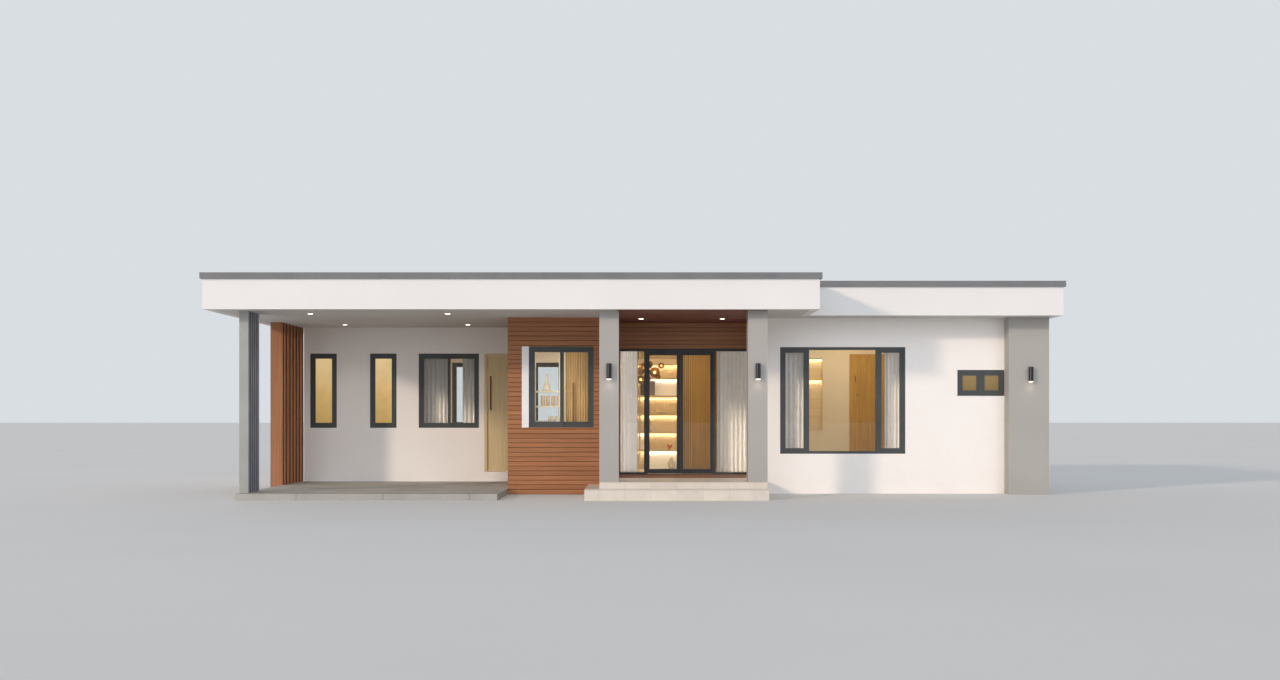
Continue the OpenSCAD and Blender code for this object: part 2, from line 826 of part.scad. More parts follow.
// Metal cap round the whole parapet, in mitred lengths
module parapet_cap() {
    color("dimgray") at_plan() translate([0, 0, fascia_top]) {
        for (i = [0 : 5]) cap_run(i);
    }
}

module carport_window_frames() {
    color("darkslategray") at_plan() frames_of(["carport"]);
}

module front_window_frames() {
    color("darkslategray") at_plan() frames_of(["kitchen", "wing", "bath"]);
}

module rear_window_frames() {
    color("darkslategray") at_plan() frames_of(["rear"]);
}

module side_window_frames() {
    color("darkslategray") at_plan() frames_of(["left", "right"]);
}

// Clear panes of the sliding windows, the large window and the sidelights
module window_glass() {
    color("lightblue", 0.4) at_plan() {
        for (win = windows) {
            if (win[7] == "slide" || win[7] == "triple") {
                in_wall(win, frame_back) window_panes(win[7], win[5], win[6]);
            }
        }
        sidelight_panes();
    }
}

// Frosted panes of the slim windows and the bathroom
module frosted_glass() {
    color("moccasin") at_plan() {
        for (win = windows) {
            if (win[7] == "slim" || win[7] == "twin") {
                in_wall(win, frame_back) window_panes(win[7], win[5], win[6]);
            }
        }
    }
}

// Clear span of a sidelight, as [start, end]. The left one's outer post is let into the cladding.
left_light = [kitchen_wall_x1 + entry_face, entry_door_x];
right_light = [entry_door_x + entry_door_w, wing_x - entry_face];
light_z0 = floor_z + entry_face;
light_z1 = entry_head_z - entry_face;
light_pane_y = entry_setback + (entry_frame_d - glass_t) / 2;
module sidelight_panes() {
    for (span = [left_light, right_light]) {
        block(span[0] - glass_bite, span[1] + glass_bite, light_pane_y, light_pane_y + glass_t,
            light_z0 - glass_bite, light_z1 + glass_bite);
    }
}

// Depth of a door stop in front of the closed leaf
entry_stop_d = entry_frame_d - leaf_t - stop_gap;
// Fixed lights beside the entrance doors, whose inner posts are the door jambs
module sidelight_frames() {
    jamb_x0 = entry_door_x + entry_face;
    jamb_x1 = entry_door_x + entry_door_w - entry_face;
    high = entry_head_z - floor_z;
    color("darkslategray") at_plan() {
        difference() {
            union() {
                translate([kitchen_wall_x1, entry_setback, floor_z])
                    ring(jamb_x0 - kitchen_wall_x1, high, entry_face, entry_frame_d);
                block(jamb_x0, jamb_x0 + stop_reach, entry_setback, entry_setback + entry_stop_d,
                    floor_z + threshold_h, entry_head_z - entry_face);
            }
            sidelight_panes();
        }
        difference() {
            union() {
                translate([jamb_x1, entry_setback, floor_z])
                    ring(wing_x - jamb_x1, high, entry_face, entry_frame_d);
                block(jamb_x1 - stop_reach, jamb_x1, entry_setback, entry_setback + entry_stop_d,
                    floor_z + threshold_h, entry_head_z - entry_face);
            }
            sidelight_panes();
        }
    }
}

// Head over the entrance doors, with its stop, and the threshold under them
module entry_head_rail() {
    jamb_x0 = entry_door_x + entry_face;
    jamb_x1 = entry_door_x + entry_door_w - entry_face;
    under = entry_head_z - entry_face;
    color("darkslategray") at_plan() {
        block(jamb_x0, jamb_x1, entry_setback, entry_hinge_y, under, entry_head_z);
        block(jamb_x0 + stop_reach, jamb_x1 - stop_reach, entry_setback,
            entry_setback + entry_stop_d, under - stop_reach, under);
        block(jamb_x0, jamb_x1, entry_setback, entry_hinge_y, floor_z, floor_z + threshold_h);
    }
}

// Heights of a leaf's hinges, each at the foot of its lower knuckle
function hinge_zs(leaf_h) = [leaf_z + hinge_inset, leaf_z + leaf_h / 2 - knuckle_h,
    leaf_z + leaf_h - hinge_inset - 2 * knuckle_h];

// Lower knuckle with its pin and its plate on the jamb, which lies to the given side
module fixed_knuckle(x, hinge_y, z, side) {
    translate([x, hinge_y + axis_out, z]) {
        cylinder(h = knuckle_h, d = barrel_d);
        cylinder(h = 2 * knuckle_h - pin_end, d = hinge_pin_d);
        hinge_plate(side);
    }
}

// Plate that reaches from a barrel to the edge of the jamb or of the leaf
module hinge_plate(side) {
    from_axis = hinge_gap / 2 - hinge_plate_t;
    x0 = side < 0 ? -hinge_gap / 2 : from_axis;
    translate([x0, -axis_out - hinge_plate_w, 0])
        cube([hinge_plate_t, hinge_plate_w + axis_out, knuckle_h]);
}

// Upper knuckles on a leaf, bored for the pins
module leaf_knuckles(x, hinge_y, leaf_h, side) {
    for (z = hinge_zs(leaf_h)) {
        translate([x, hinge_y + axis_out, z + knuckle_h + knuckle_gap]) difference() {
            union() {
                cylinder(h = knuckle_h, d = barrel_d);
                hinge_plate(side);
            }
            translate([0, 0, -cut])
                cylinder(h = knuckle_h + 2 * cut, d = hinge_pin_d + 2 * pin_play);
        }
    }
}

// Fixed halves of the three doors' hinges
module door_hinges() {
    color("dimgray") at_plan() {
        for (z = hinge_zs(entry_leaf_h)) {
            fixed_knuckle(left_hinge_x, entry_hinge_y, z, -1);
            fixed_knuckle(right_hinge_x, entry_hinge_y, z, 1);
        }
        for (z = hinge_zs(side_leaf_h)) fixed_knuckle(side_hinge_x, side_hinge_y, z, 1);
    }
}

// Stiles and rails of a glazed leaf, from its left edge
module glazed_leaf(x) {
    difference() {
        block(x, x + entry_leaf_w, entry_leaf_y, entry_hinge_y, leaf_z, leaf_z + entry_leaf_h);
        block(x + stile_w, x + entry_leaf_w - stile_w, entry_leaf_y - cut, entry_hinge_y + cut,
            leaf_z + bottom_rail_h, leaf_z + entry_leaf_h - top_rail_h);
        leaf_pane(x);
    }
}

module leaf_pane(x) {
    pane_front = entry_leaf_y + (leaf_t - glass_t) / 2;
    block(x + stile_w - glass_bite, x + entry_leaf_w - stile_w + glass_bite,
        pane_front, pane_front + glass_t,
        leaf_z + bottom_rail_h - glass_bite, leaf_z + entry_leaf_h - top_rail_h + glass_bite);
}

left_leaf_x = entry_door_x + entry_face + hinge_gap;
right_leaf_x = left_leaf_x + entry_leaf_w + meeting_gap;
left_hinge_x = left_leaf_x - hinge_gap / 2;
right_hinge_x = right_leaf_x + entry_leaf_w + hinge_gap / 2;
side_hinge_x = kitchen_x - side_face - hinge_gap / 2;
side_hinge_y = carport_depth + side_frame_d;

module entry_leaf_left() {
    color("darkslategray") at_plan() {
        glazed_leaf(left_leaf_x);
        leaf_knuckles(left_hinge_x, entry_hinge_y, entry_leaf_h, 1);
    }
}

module entry_glass_left() {
    color("lightblue", 0.4) at_plan() leaf_pane(left_leaf_x);
}

module entry_leaf_right() {
    color("darkslategray") at_plan() {
        glazed_leaf(right_leaf_x);
        leaf_knuckles(right_hinge_x, entry_hinge_y, entry_leaf_h, -1);
    }
}

module entry_glass_right() {
    color("lightblue", 0.4) at_plan() leaf_pane(right_leaf_x);
}

// Jambs of the side door, each with a stop in front of the leaf
side_stop_d = side_frame_d - leaf_t - stop_gap;
module side_door_jambs() {
    y0 = carport_depth;
    color("peru") at_plan() {
        block(side_door_x, side_door_x + side_face, y0, y0 + side_frame_d, floor_z, head_z);
        block(side_door_x + side_face, side_door_x + side_face + stop_reach, y0, y0 + side_stop_d,
            floor_z, head_z - side_face);
        block(kitchen_x - side_face, kitchen_x, y0, y0 + side_frame_d, floor_z, head_z);
        block(kitchen_x - side_face - stop_reach, kitchen_x - side_face, y0, y0 + side_stop_d,
            floor_z, head_z - side_face);
    }
}

module side_door_head() {
    color("peru") at_plan() {
        block(side_door_x + side_face, kitchen_x - side_face, carport_depth,
            carport_depth + side_frame_d, head_z - side_face, head_z);
    }
}

module side_door_leaf() {
    x0 = side_door_x + side_face + hinge_gap;
    color("burlywood") at_plan() {
        block(x0, x0 + side_leaf_w, side_leaf_y, side_leaf_y + leaf_t, leaf_z, leaf_z + side_leaf_h);
        leaf_knuckles(side_hinge_x, side_hinge_y, side_leaf_h, -1);
    }
}

// Upright bar pull on two posts
module side_door_pull() {
    x = side_door_x + side_face + hinge_gap + pull_from_edge;
    y = side_leaf_y - pull_standoff;
    color("dimgray") at_plan() {
        translate([x, y, pull_z]) cylinder(h = pull_len, d = pull_d);
        for (z = [pull_z + pull_post_in, pull_z + pull_len - pull_post_in]) {
            translate([x, side_leaf_y, z]) rotate([90, 0, 0]) cylinder(h = pull_standoff, d = pull_post_d);
        }
    }
}

// Cylinder lights on the entrance columns and on the corner pier
module wall_lights() {
    places = [
        [left_column_x + column_w / 2, entry_column_y],
        [right_column_x + column_w / 2, entry_column_y],
        [pier_x + pier_light_in, pier_y]];
    stem_w = 40;
    stem_h = 90;
    color("dimgray") at_plan() {
        for (p = places) {
            y = p[1] - light_stem - wall_light_d / 2;
            translate([p[0], y, wall_light_z]) cylinder(h = wall_light_h, d = wall_light_d);
            block(p[0] - stem_w / 2, p[0] + stem_w / 2, y, p[1],
                wall_light_z + (wall_light_h - stem_h) / 2, wall_light_z + (wall_light_h + stem_h) / 2);
        }
    }
}

// Round lights in the carport's and the porch's soffits
module downlights() {
    carport_places = [for (x = [carport_light_left, kitchen_x - carport_light_right],
        y = [carport_light_rows, carport_depth - carport_light_rows]) [x, y]];
    porch_places = [for (x = [porch_x + porch_light_left, wing_x - porch_light_right])
        [x, entry_setback - porch_light_row]];
    color("lemonchiffon") at_plan() {
        for (p = concat(carport_places, porch_places)) {
            translate([p[0], p[1], soffit_z - downlight_h]) cylinder(h = downlight_h, d = downlight_d);
        }
    }
}

// Drawn curtains, hung from the ceiling inside the glass
module curtains() {
    door_x1 = entry_door_x + entry_door_w;
    entry_y = entry_inner_y + curtain_gap;
    carport_y = room_y + curtain_gap;
    wing_y = wing_inner_y + curtain_gap;
    slide_x1 = carport_slide_x + slide_w;
    window_x1 = wing_window_x + wing_window_w;
    color("gainsboro") at_plan() {
        for (span = [[porch_x + curtain_side_gap, entry_door_x - curtain_door_gap],
            [door_x1 + curtain_right_gap, wing_x - curtain_side_gap]]) {
            block(span[0], span[1], entry_y, entry_y + curtain_t, floor_z + curtain_floor_gap, soffit_z);
        }
        for (span = [[carport_slide_x, carport_slide_x + slide_w / 2],
            [slide_x1 - slide_curtain_w, slide_x1]]) {
            block(span[0], span[1], carport_y, carport_y + curtain_t, sill_z - curtain_below_sill, soffit_z);
        }
        for (span = [[wing_window_x - curtain_past_window, wing_window_x + left_curtain_w],
            [window_x1 - right_curtain_w, window_x1 + curtain_past_window]]) {
            block(span[0], span[1], wing_y, wing_y + curtain_t, wing_sill_z - curtain_below_sill, soffit_z);
        }
    }
}

// Start and end of the lounge's inner wall along X
lounge_wall_x0 = porch_x - lounge_wall_left;
lounge_wall_x1 = wing_x;
shelf_x0 = porch_x - shelf_left;
shelf_x1 = shelf_x0 + shelf_unit_w;
// Start and end of the bedroom's inner wall along X
bedroom_wall_x0 = wing_x + wall_t;
bedroom_wall_x1 = bedroom_wall_x0 + bedroom_wall_w;
bedroom_panel_x = wing_window_x + bedroom_panel_in;

// Walls behind the display shelves and across the bedroom, whose wall has a niche beside the panel
module inner_walls() {
    niche_x1 = wing_window_x + niche_in;
    color("wheat") at_plan() {
        block(lounge_wall_x0, lounge_wall_x1, lounge_wall_y, lounge_wall_y + inner_wall_t,
            floor_z, soffit_z);
        difference() {
            block(bedroom_wall_x0, bedroom_wall_x1, bedroom_wall_y, bedroom_wall_y + inner_wall_t,
                floor_z, soffit_z);
            block(niche_x1 - niche_w, niche_x1, bedroom_wall_y - cut, bedroom_wall_y + niche_d,
                niche_z, niche_z + niche_h);
        }
    }
}

// Heights of the shelves' lower faces
shelf_zs = [for (z = floor_z + first_shelf; z < soffit_z - shelf_pitch / 2; z = z + shelf_pitch) z];
shelf_y0 = lounge_wall_y - shelf_d;
shelf_back_y = lounge_wall_y - shelf_t / 2;
shelf_middle = (shelf_x0 + shelf_x1) / 2;

// Shelf boards, each held between two uprights and the back
module display_shelves() {
    color("tan") at_plan() {
        for (z = shelf_zs) {
            block(shelf_x0 + shelf_t, shelf_middle - shelf_t / 2, shelf_y0, shelf_back_y, z, z + shelf_t);
            block(shelf_middle + shelf_t / 2, shelf_x1 - shelf_t, shelf_y0, shelf_back_y, z, z + shelf_t);
        }
    }
}

// Two ends, the middle upright and the back of the display shelves
module shelf_uprights() {
    color("tan") at_plan() {
        block(shelf_x0, shelf_x1, shelf_back_y, lounge_wall_y, floor_z, soffit_z);
        for (x = [shelf_x0, shelf_middle - shelf_t / 2, shelf_x1 - shelf_t]) {
            block(x, x + shelf_t, shelf_y0, lounge_wall_y, floor_z, soffit_z);
        }
    }
}

// Timber panels beside the shelves and on the bedroom's inner wall
module timber_panels() {
    y0 = lounge_wall_y - panel_t;
    color("peru") at_plan() {
        block(lounge_wall_x0, shelf_x0, y0, lounge_wall_y, floor_z, soffit_z);
        block(shelf_x1, lounge_wall_x1, y0, lounge_wall_y, floor_z, soffit_z);
        block(bedroom_panel_x, bedroom_panel_x + bedroom_panel_w, bedroom_wall_y - panel_t, bedroom_wall_y,
            floor_z, head_z);
    }
}

carport_slab();
house_floor();
entry_lower_step();
entry_platform();
porch_floor();
carport_column();
fin_screen();
entry_columns();
corner_pier();
carport_rear_wall();
side_door_wall();
left_wall();
right_wall();
rear_wall();
kitchen_side_wall();
kitchen_front_wall();
kitchen_cladding();
window_side_board();
porch_side_walls();
entry_head_wall();
wing_wall_piers();
wing_wall_bands();
main_roof_deck();
wing_roof_deck();
porch_soffit();
front_fascia();
side_fascias();
rear_fascia();
parapet_cap();
carport_window_frames();
front_window_frames();
rear_window_frames();
side_window_frames();
window_glass();
frosted_glass();
sidelight_frames();
entry_head_rail();
entry_leaf_left();
entry_glass_left();
entry_leaf_right();
entry_glass_right();
side_door_jambs();
side_door_head();
side_door_leaf();
side_door_pull();
door_hinges();
wall_lights();
downlights();
curtains();
inner_walls();
display_shelves();
shelf_uprights();
timber_panels();
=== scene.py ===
import functools
import math
import random

import bmesh
import bpy
from mathutils import Matrix, Vector


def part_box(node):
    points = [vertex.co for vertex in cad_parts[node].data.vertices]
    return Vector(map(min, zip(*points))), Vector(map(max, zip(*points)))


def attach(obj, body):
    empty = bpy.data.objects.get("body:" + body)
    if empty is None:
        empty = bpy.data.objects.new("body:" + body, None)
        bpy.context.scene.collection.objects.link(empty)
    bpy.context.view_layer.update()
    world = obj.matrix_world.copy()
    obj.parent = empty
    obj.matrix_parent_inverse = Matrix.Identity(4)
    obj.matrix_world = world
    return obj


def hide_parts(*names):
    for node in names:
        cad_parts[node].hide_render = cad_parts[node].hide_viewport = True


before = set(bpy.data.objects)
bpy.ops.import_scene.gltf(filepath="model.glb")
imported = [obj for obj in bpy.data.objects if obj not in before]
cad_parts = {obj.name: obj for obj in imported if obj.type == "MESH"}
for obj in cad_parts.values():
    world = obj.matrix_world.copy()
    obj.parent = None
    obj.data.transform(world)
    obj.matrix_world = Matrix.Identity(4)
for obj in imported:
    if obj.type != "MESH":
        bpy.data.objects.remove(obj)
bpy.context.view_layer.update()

scene = bpy.context.scene

# Plan lines from the left wall's outer face and the main fascia's front, and heights, in millimetres
CENTRE_X = 7070
CENTRE_Y = 5150
SOFFIT_Z = 3300
FLOOR_Z = 305
KITCHEN_X = 4500
PORCH_X = 6560
WING_X = 9195
KITCHEN_Y = 2050
ENTRY_Y = 3630
ENTRY_REAR_Y = 3780
LOUNGE_WALL_Y = 7000
BEDROOM_WALL_Y = 5300
ENTRY_COLUMN_Y = 310


def at(x, y, z):
    """Point of the shared frame, in metres, from a plan position and a height in millimetres."""
    return Vector(((x - CENTRE_X) / 1000, (y - CENTRE_Y) / 1000, z / 1000))


def linear(hex_text):
    """Linear colour from an sRGB hex value."""
    channels = [int(hex_text[i:i + 2], 16) / 255 for i in (1, 3, 5)]
    return [c / 12.92 if c <= 0.04045 else ((c + 0.055) / 1.055) ** 2.4 for c in channels] + [1.0]


def add_node(tree, kind, inputs=(), stops=(), out=0, **settings):
    """Adds a node with its settings, its inputs and a ramp's stops, and gives one of its outputs.

    A shader node's kind comes without its prefix. Inputs come in the sockets' order or by name, as
    numbers, hex colours or other nodes' outputs. With out=None it gives the node itself."""
    made = tree.nodes.new(kind if "Node" in kind else "ShaderNode" + kind)
    for key, value in settings.items():
        setattr(made, key, value)
    for key, value in inputs.items() if isinstance(inputs, dict) else enumerate(inputs):
        if isinstance(value, bpy.types.NodeSocket):
            tree.links.new(value, made.inputs[key])
        else:
            made.inputs[key].default_value = linear(value) if isinstance(value, str) else value
    if stops:
        ramp = made.color_ramp.elements
        ramp.remove(ramp[1])
        ramp[0].position, ramp[0].color = stops[0][0], linear(stops[0][1])
        for place, colour in stops[1:]:
            ramp.new(place).color = linear(colour)
    return made if out is None else made.outputs[out]


# A Mix node takes its share at 0 and its two colours at 6 and 7, and gives the blend at 2
OF_COLOURS = {"data_type": "RGBA", "out": 2}


def blank(name):
    """Material with an empty tree, and the function that adds nodes to it."""
    material = bpy.data.materials.new(name)
    material.use_nodes = True
    material.node_tree.nodes.clear()
    return material, functools.partial(add_node, material.node_tree)


def coated(material, node, layers=(), lamp_tint=None, **sockets):
    """The material with its shader, whose sockets take numbers or other nodes' outputs.

    A layer of its bump is (height, depth in millimetres), the coarsest first. A glass with a lamp tint
    lets a lamp's light pass straight through it."""
    given = {key.replace("_", " "): value for key, value in sockets.items()}
    for height, depth_mm in layers:
        bump = {"Height": height, "Distance": depth_mm / 1000, "Strength": 1.0}
        if "Normal" in given:
            bump["Normal"] = given["Normal"]
        given["Normal"] = node("Bump", bump)
    surface = node("BsdfPrincipled", given)
    if lamp_tint:
        shadow = node("LightPath", out="Is Shadow Ray")
        passing = node("BsdfTransparent", {"Color": lamp_tint})
        surface = node("MixShader", [shadow, surface, passing])
    node("OutputMaterial", {"Surface": surface}, out=None)
    return material


def axes_of(node, kind="TexCoord", output="Object"):
    """The three parts of the surface's place, or of its normal."""
    vector = node(kind, out=output)
    return node("SeparateXYZ", [vector], out=None).outputs


def clouds(node, size_mm, detail=3.0, low=0.0, high=1.0, to_low=0.0, to_high=1.0, distortion=0.0):
    """Soft patches: noise from low to high, moved to the range to_low to to_high.

    Their size is in millimetres, one number or one for each axis."""
    sizes = size_mm if isinstance(size_mm, tuple) else (size_mm,) * 3
    place = node("TexCoord", out="Object")
    place = node("VectorMath", [place, [1000 / size for size in sizes]], operation="MULTIPLY")
    noise = node("TexNoise", {"Vector": place, "Scale": 1.0, "Detail": detail,
                              "Distortion": distortion})
    return node("MapRange", [noise, low, high, to_low, to_high])


def mottled(node, first, second, size_mm, detail=3.0, low=0.3, high=0.7):
    """Colour that drifts between two tones, in patches about size_mm across."""
    share = clouds(node, size_mm, detail, low, high)
    return node("Mix", {0: share, 6: first, 7: second}, **OF_COLOURS)


def shaded(node, colour, lift):
    """Colour made lighter or darker by a number."""
    grey = node("CombineColor", [lift, lift, lift])
    return node("Mix", {0: 1.0, 6: colour, 7: grey}, blend_type="MULTIPLY", **OF_COLOURS)


def near_line(node, value, pitch, half_width, start=0.0):
    """1 where value is within half_width of a line, the lines being a pitch apart from start."""
    shifted = node("Math", [value, start], operation="SUBTRACT")
    distance = node("Math", [shifted, pitch / 2], operation="PINGPONG")
    return node("Math", [distance, half_width], operation="LESS_THAN")


def number_along(node, value, pitch, start):
    """Number of the board or tile that a place along a row falls on."""
    shifted = node("Math", [value, start], operation="SUBTRACT")
    count = node("Math", [shifted, pitch], operation="DIVIDE")
    return node("Math", [count], operation="FLOOR")


def side_faces(node):
    """1 on faces that look left or right."""
    across = axes_of(node, "NewGeometry", "Normal")[0]
    size = node("Math", [across], operation="ABSOLUTE")
    return node("Math", [size, 0.5], operation="GREATER_THAN")


def top_faces(node):
    """1 on faces that look up."""
    up = axes_of(node, "NewGeometry", "Normal")[2]
    return node("Math", [up, 0.5], operation="GREATER_THAN")


def sponged_render(name, paint, shade, dust, grain_mm=14, grain_depth=0.5, foot=0.55):
    """Acrylic render or wall paint, sponged flat: a fine sandy grain, faint clouds of shade, and some
    dust at the foot, up to a height in metres.

    Sand is 1 to 2 mm across. Its clusters are drawn at 14 mm or more, with finer ones at a third of
    that, so that they show."""
    material, node = blank(name)
    grain = clouds(node, grain_mm, 5.0)
    low = node("MapRange", [axes_of(node)[2], 0.0, foot, 1.0, 0.0])
    patches = clouds(node, 420, 5.0, 0.35, 0.75, 0.02, 0.25)
    dusty = node("Math", [low, patches], operation="MULTIPLY")
    colour = node("Mix", {0: dusty, 6: mottled(node, paint, shade, 1600), 7: dust}, **OF_COLOURS)
    speckle = node("MapRange", [grain, 0.3, 0.7, 0.97, 1.02])
    layers = [(clouds(node, 1200, 2.0), 1.5), (grain, grain_depth), (clouds(node, grain_mm / 3, 2.0), 0.2)]
    return coated(material, node, layers, Base_Color=shaded(node, colour, speckle), Roughness=0.88, IOR=1.5)


def sawn_boards(name, dark, middle, light, grain_mm, board_axis, pitch, start, groove, tone=0.09,
                roughness=0.62, painted_side_shade=1.0):
    """Sawn boards or veneered panels: long soft grain, a tone of its own on each board, dark joints.

    Growth rings are 3 to 5 mm apart, and drawn at 15 mm or more, so that they show from the street."""
    material, node = blank(name)
    place = axes_of(node)
    board = number_along(node, place[board_axis], pitch, start)
    own = node("TexWhiteNoise", {"W": board}, noise_dimensions="1D", out="Value")
    # Each board is cut from another stretch of the grain
    slide = node("Math", [own, 7.0], operation="MULTIPLY")
    slide = node("CombineXYZ", [slide, slide, slide])
    moved = node("TexCoord", out="Object")
    moved = node("VectorMath", [moved, [1000 / size for size in grain_mm], slide],
                 operation="MULTIPLY_ADD")
    grain = node("TexNoise", {"Vector": moved, "Scale": 1.0, "Detail": 7.0, "Roughness": 0.6,
                              "Distortion": 0.4})
    # The pores are a sixth of the grain's size
    pores = node("TexNoise", {"Vector": moved, "Scale": 6.0, "Detail": 3.0, "Roughness": 0.7})
    colour = node("ValToRGB", [grain], stops=[(0.2, dark), (0.5, middle), (0.8, light)])
    lifts = [node("MapRange", [pores, 0.3, 0.7, 0.9, 1.06])]
    if groove:
        # The groove is drawn a little wider than it is cut, so that it still shows from the street
        joint = near_line(node, place[board_axis], pitch, groove / 2, start + groove / 2)
        lifts.append(node("MapRange", [joint, 0.0, 1.0, 1.0, 0.3]))
    if painted_side_shade < 1:
        # Painted shade: faces that look left or right come out darker, for the shade that falls on them
        # between the fins
        lifts.append(node("MapRange", [side_faces(node), 0.0, 1.0, 1.0, painted_side_shade]))
    lift = node("MapRange", [own, 0.0, 1.0, 1.0 - tone, 1.0 + tone])
    for factor in lifts:
        lift = node("Math", [lift, factor], operation="MULTIPLY")
    worn = node("MapRange", [pores, 0.3, 0.7, roughness - 0.1, roughness + 0.12])
    return coated(material, node, [(grain, 1.2), (pores, 0.5)], Base_Color=shaded(node, colour, lift),
                  Roughness=worn, IOR=1.5)


def laid_tiles(name, light, dark, joint_tone, tile, start, nosing_tops=(), joint=0.006, roughness=0.42):
    """Honed stone tiles: soft veining, a slight change of tone between tiles, fine recessed joints.

    Joints are 3 mm wide, and drawn at 6 mm, so that they show from the street."""
    material, node = blank(name)
    place = axes_of(node)
    level = top_faces(node)
    # Lines across the depth would fill a whole riser, so they count on level faces only
    along = near_line(node, place[1], tile, joint / 2, start[1])
    along = node("Math", [along, level], operation="MULTIPLY")
    across = near_line(node, place[0], tile, joint / 2, start[0])
    across = node("Math", [across, side_faces(node)], operation="GREATER_THAN")
    joints = node("Math", [across, along], operation="MAXIMUM")
    for top in nosing_tops:
        under = node("Math", [place[2], top, joint / 2], operation="COMPARE")
        under = node("Math", [under, level], operation="GREATER_THAN")
        joints = node("Math", [joints, under], operation="MAXIMUM")
    cell = [number_along(node, place[i], tile, start[i]) for i in range(2)]
    cell = node("CombineXYZ", cell)
    own = node("TexWhiteNoise", {"Vector": cell}, noise_dimensions="2D", out="Value")
    lift = node("MapRange", [own, 0.0, 1.0, 0.95, 1.03])
    lift = node("Math", [lift, clouds(node, 16, 4.0, 0.3, 0.7, 0.97, 1.02)], operation="MULTIPLY")
    veins = clouds(node, 320, 7.0, 0.35, 0.68, distortion=1.4)
    colour = node("Mix", {0: veins, 6: light, 7: dark}, **OF_COLOURS)
    colour = node("Mix", {0: joints, 6: shaded(node, colour, lift), 7: joint_tone}, **OF_COLOURS)
    worn = node("MapRange", [veins, 0.0, 1.0, roughness - 0.03, roughness + 0.05])
    body = node("Math", [1.0, joints], operation="SUBTRACT")
    return coated(material, node, [(body, 1.5), (clouds(node, 16, 4.0), 0.15)], Base_Color=colour,
                  Roughness=worn, IOR=1.5)


def satin_skin(name, paint, worn, roughness=0.42, ripple_mm=18):
    """Smooth skin of powder coat, paint, lacquer or rubber: one colour, a faint ripple, a soft shine
    that varies a little with wear.

    The ripple is a sprayed coat's orange peel, 2 to 5 mm across and drawn at 18 mm, so that it shows.
    On the cap it is the long wave of thin sheet steel, 300 mm."""
    material, node = blank(name)
    return coated(material, node, [(clouds(node, ripple_mm, 2.0), 0.12)],
                  Base_Color=mottled(node, paint, worn, 420, 4.0, 0.35, 0.65),
                  Roughness=clouds(node, 90, 4.0, 0.3, 0.7, roughness - 0.06, roughness + 0.1), IOR=1.5)


def brushed_metal(name, bright, dark, marks_mm, roughness):
    """Brushed metal: fine lines along one axis that stretch the highlights.

    The marks of the brush are under 1 mm wide, and drawn at several millimetres, so that they show."""
    material, node = blank(name)
    lines = clouds(node, marks_mm, 4.0, 0.3, 0.7)
    colour = node("Mix", {0: lines, 6: dark, 7: bright}, **OF_COLOURS)
    worn = node("MapRange", [lines, 0.0, 1.0, roughness - 0.08, roughness + 0.12])
    return coated(material, node, [(lines, 0.02)], Base_Color=colour, Roughness=worn, Metallic=1.0)


def glowing(name, tone, dim, strength, patch_mm=60):
    """Lit surface, such as a diffuser: an even glow with slightly dimmer patches of dust."""
    material, node = blank(name)
    glow = mottled(node, tone, dim, patch_mm)
    return coated(material, node, Base_Color=glow, Emission_Color=glow, Emission_Strength=strength,
                  Roughness=0.5, IOR=1.5)


def roof_covering():
    """Bitumen felt in rolls a metre wide above, painted flat board below, which is the soffit.

    The felt's mineral grit is 1 to 2 mm across, and drawn at 9 mm, so that it shows."""
    material, node = blank("torched_felt_over_painted_board")
    up = top_faces(node)
    lap = near_line(node, axes_of(node)[0], 1.0, 0.012)
    lap = node("Math", [lap, up], operation="MULTIPLY")
    grit = clouds(node, 9, 3.0)
    gritty = node("MapRange", [grit, 0.35, 0.65, 0.0, 0.35])
    felt = mottled(node, "#8F9294", "#A3A5A4", 1300, 5.0)
    felt = node("Mix", {0: gritty, 6: felt, 7: "#6F7274"}, **OF_COLOURS)
    felt = node("Mix", {0: lap, 6: felt, 7: "#5D6062"}, **OF_COLOURS)
    board = mottled(node, "#CFCECA", "#C6C5C1", 1300, 5.0)
    colour = node("Mix", {0: up, 6: board, 7: felt}, **OF_COLOURS)
    rough = node("MapRange", [up, 0.0, 1.0, 0.1, 1.0])
    rough = node("Math", [grit, rough], operation="MULTIPLY")
    return coated(material, node, [(lap, 3.0), (rough, 1.0)], Base_Color=colour, IOR=1.5,
                  Roughness=node("MapRange", [up, 0.0, 1.0, 0.72, 0.93]))


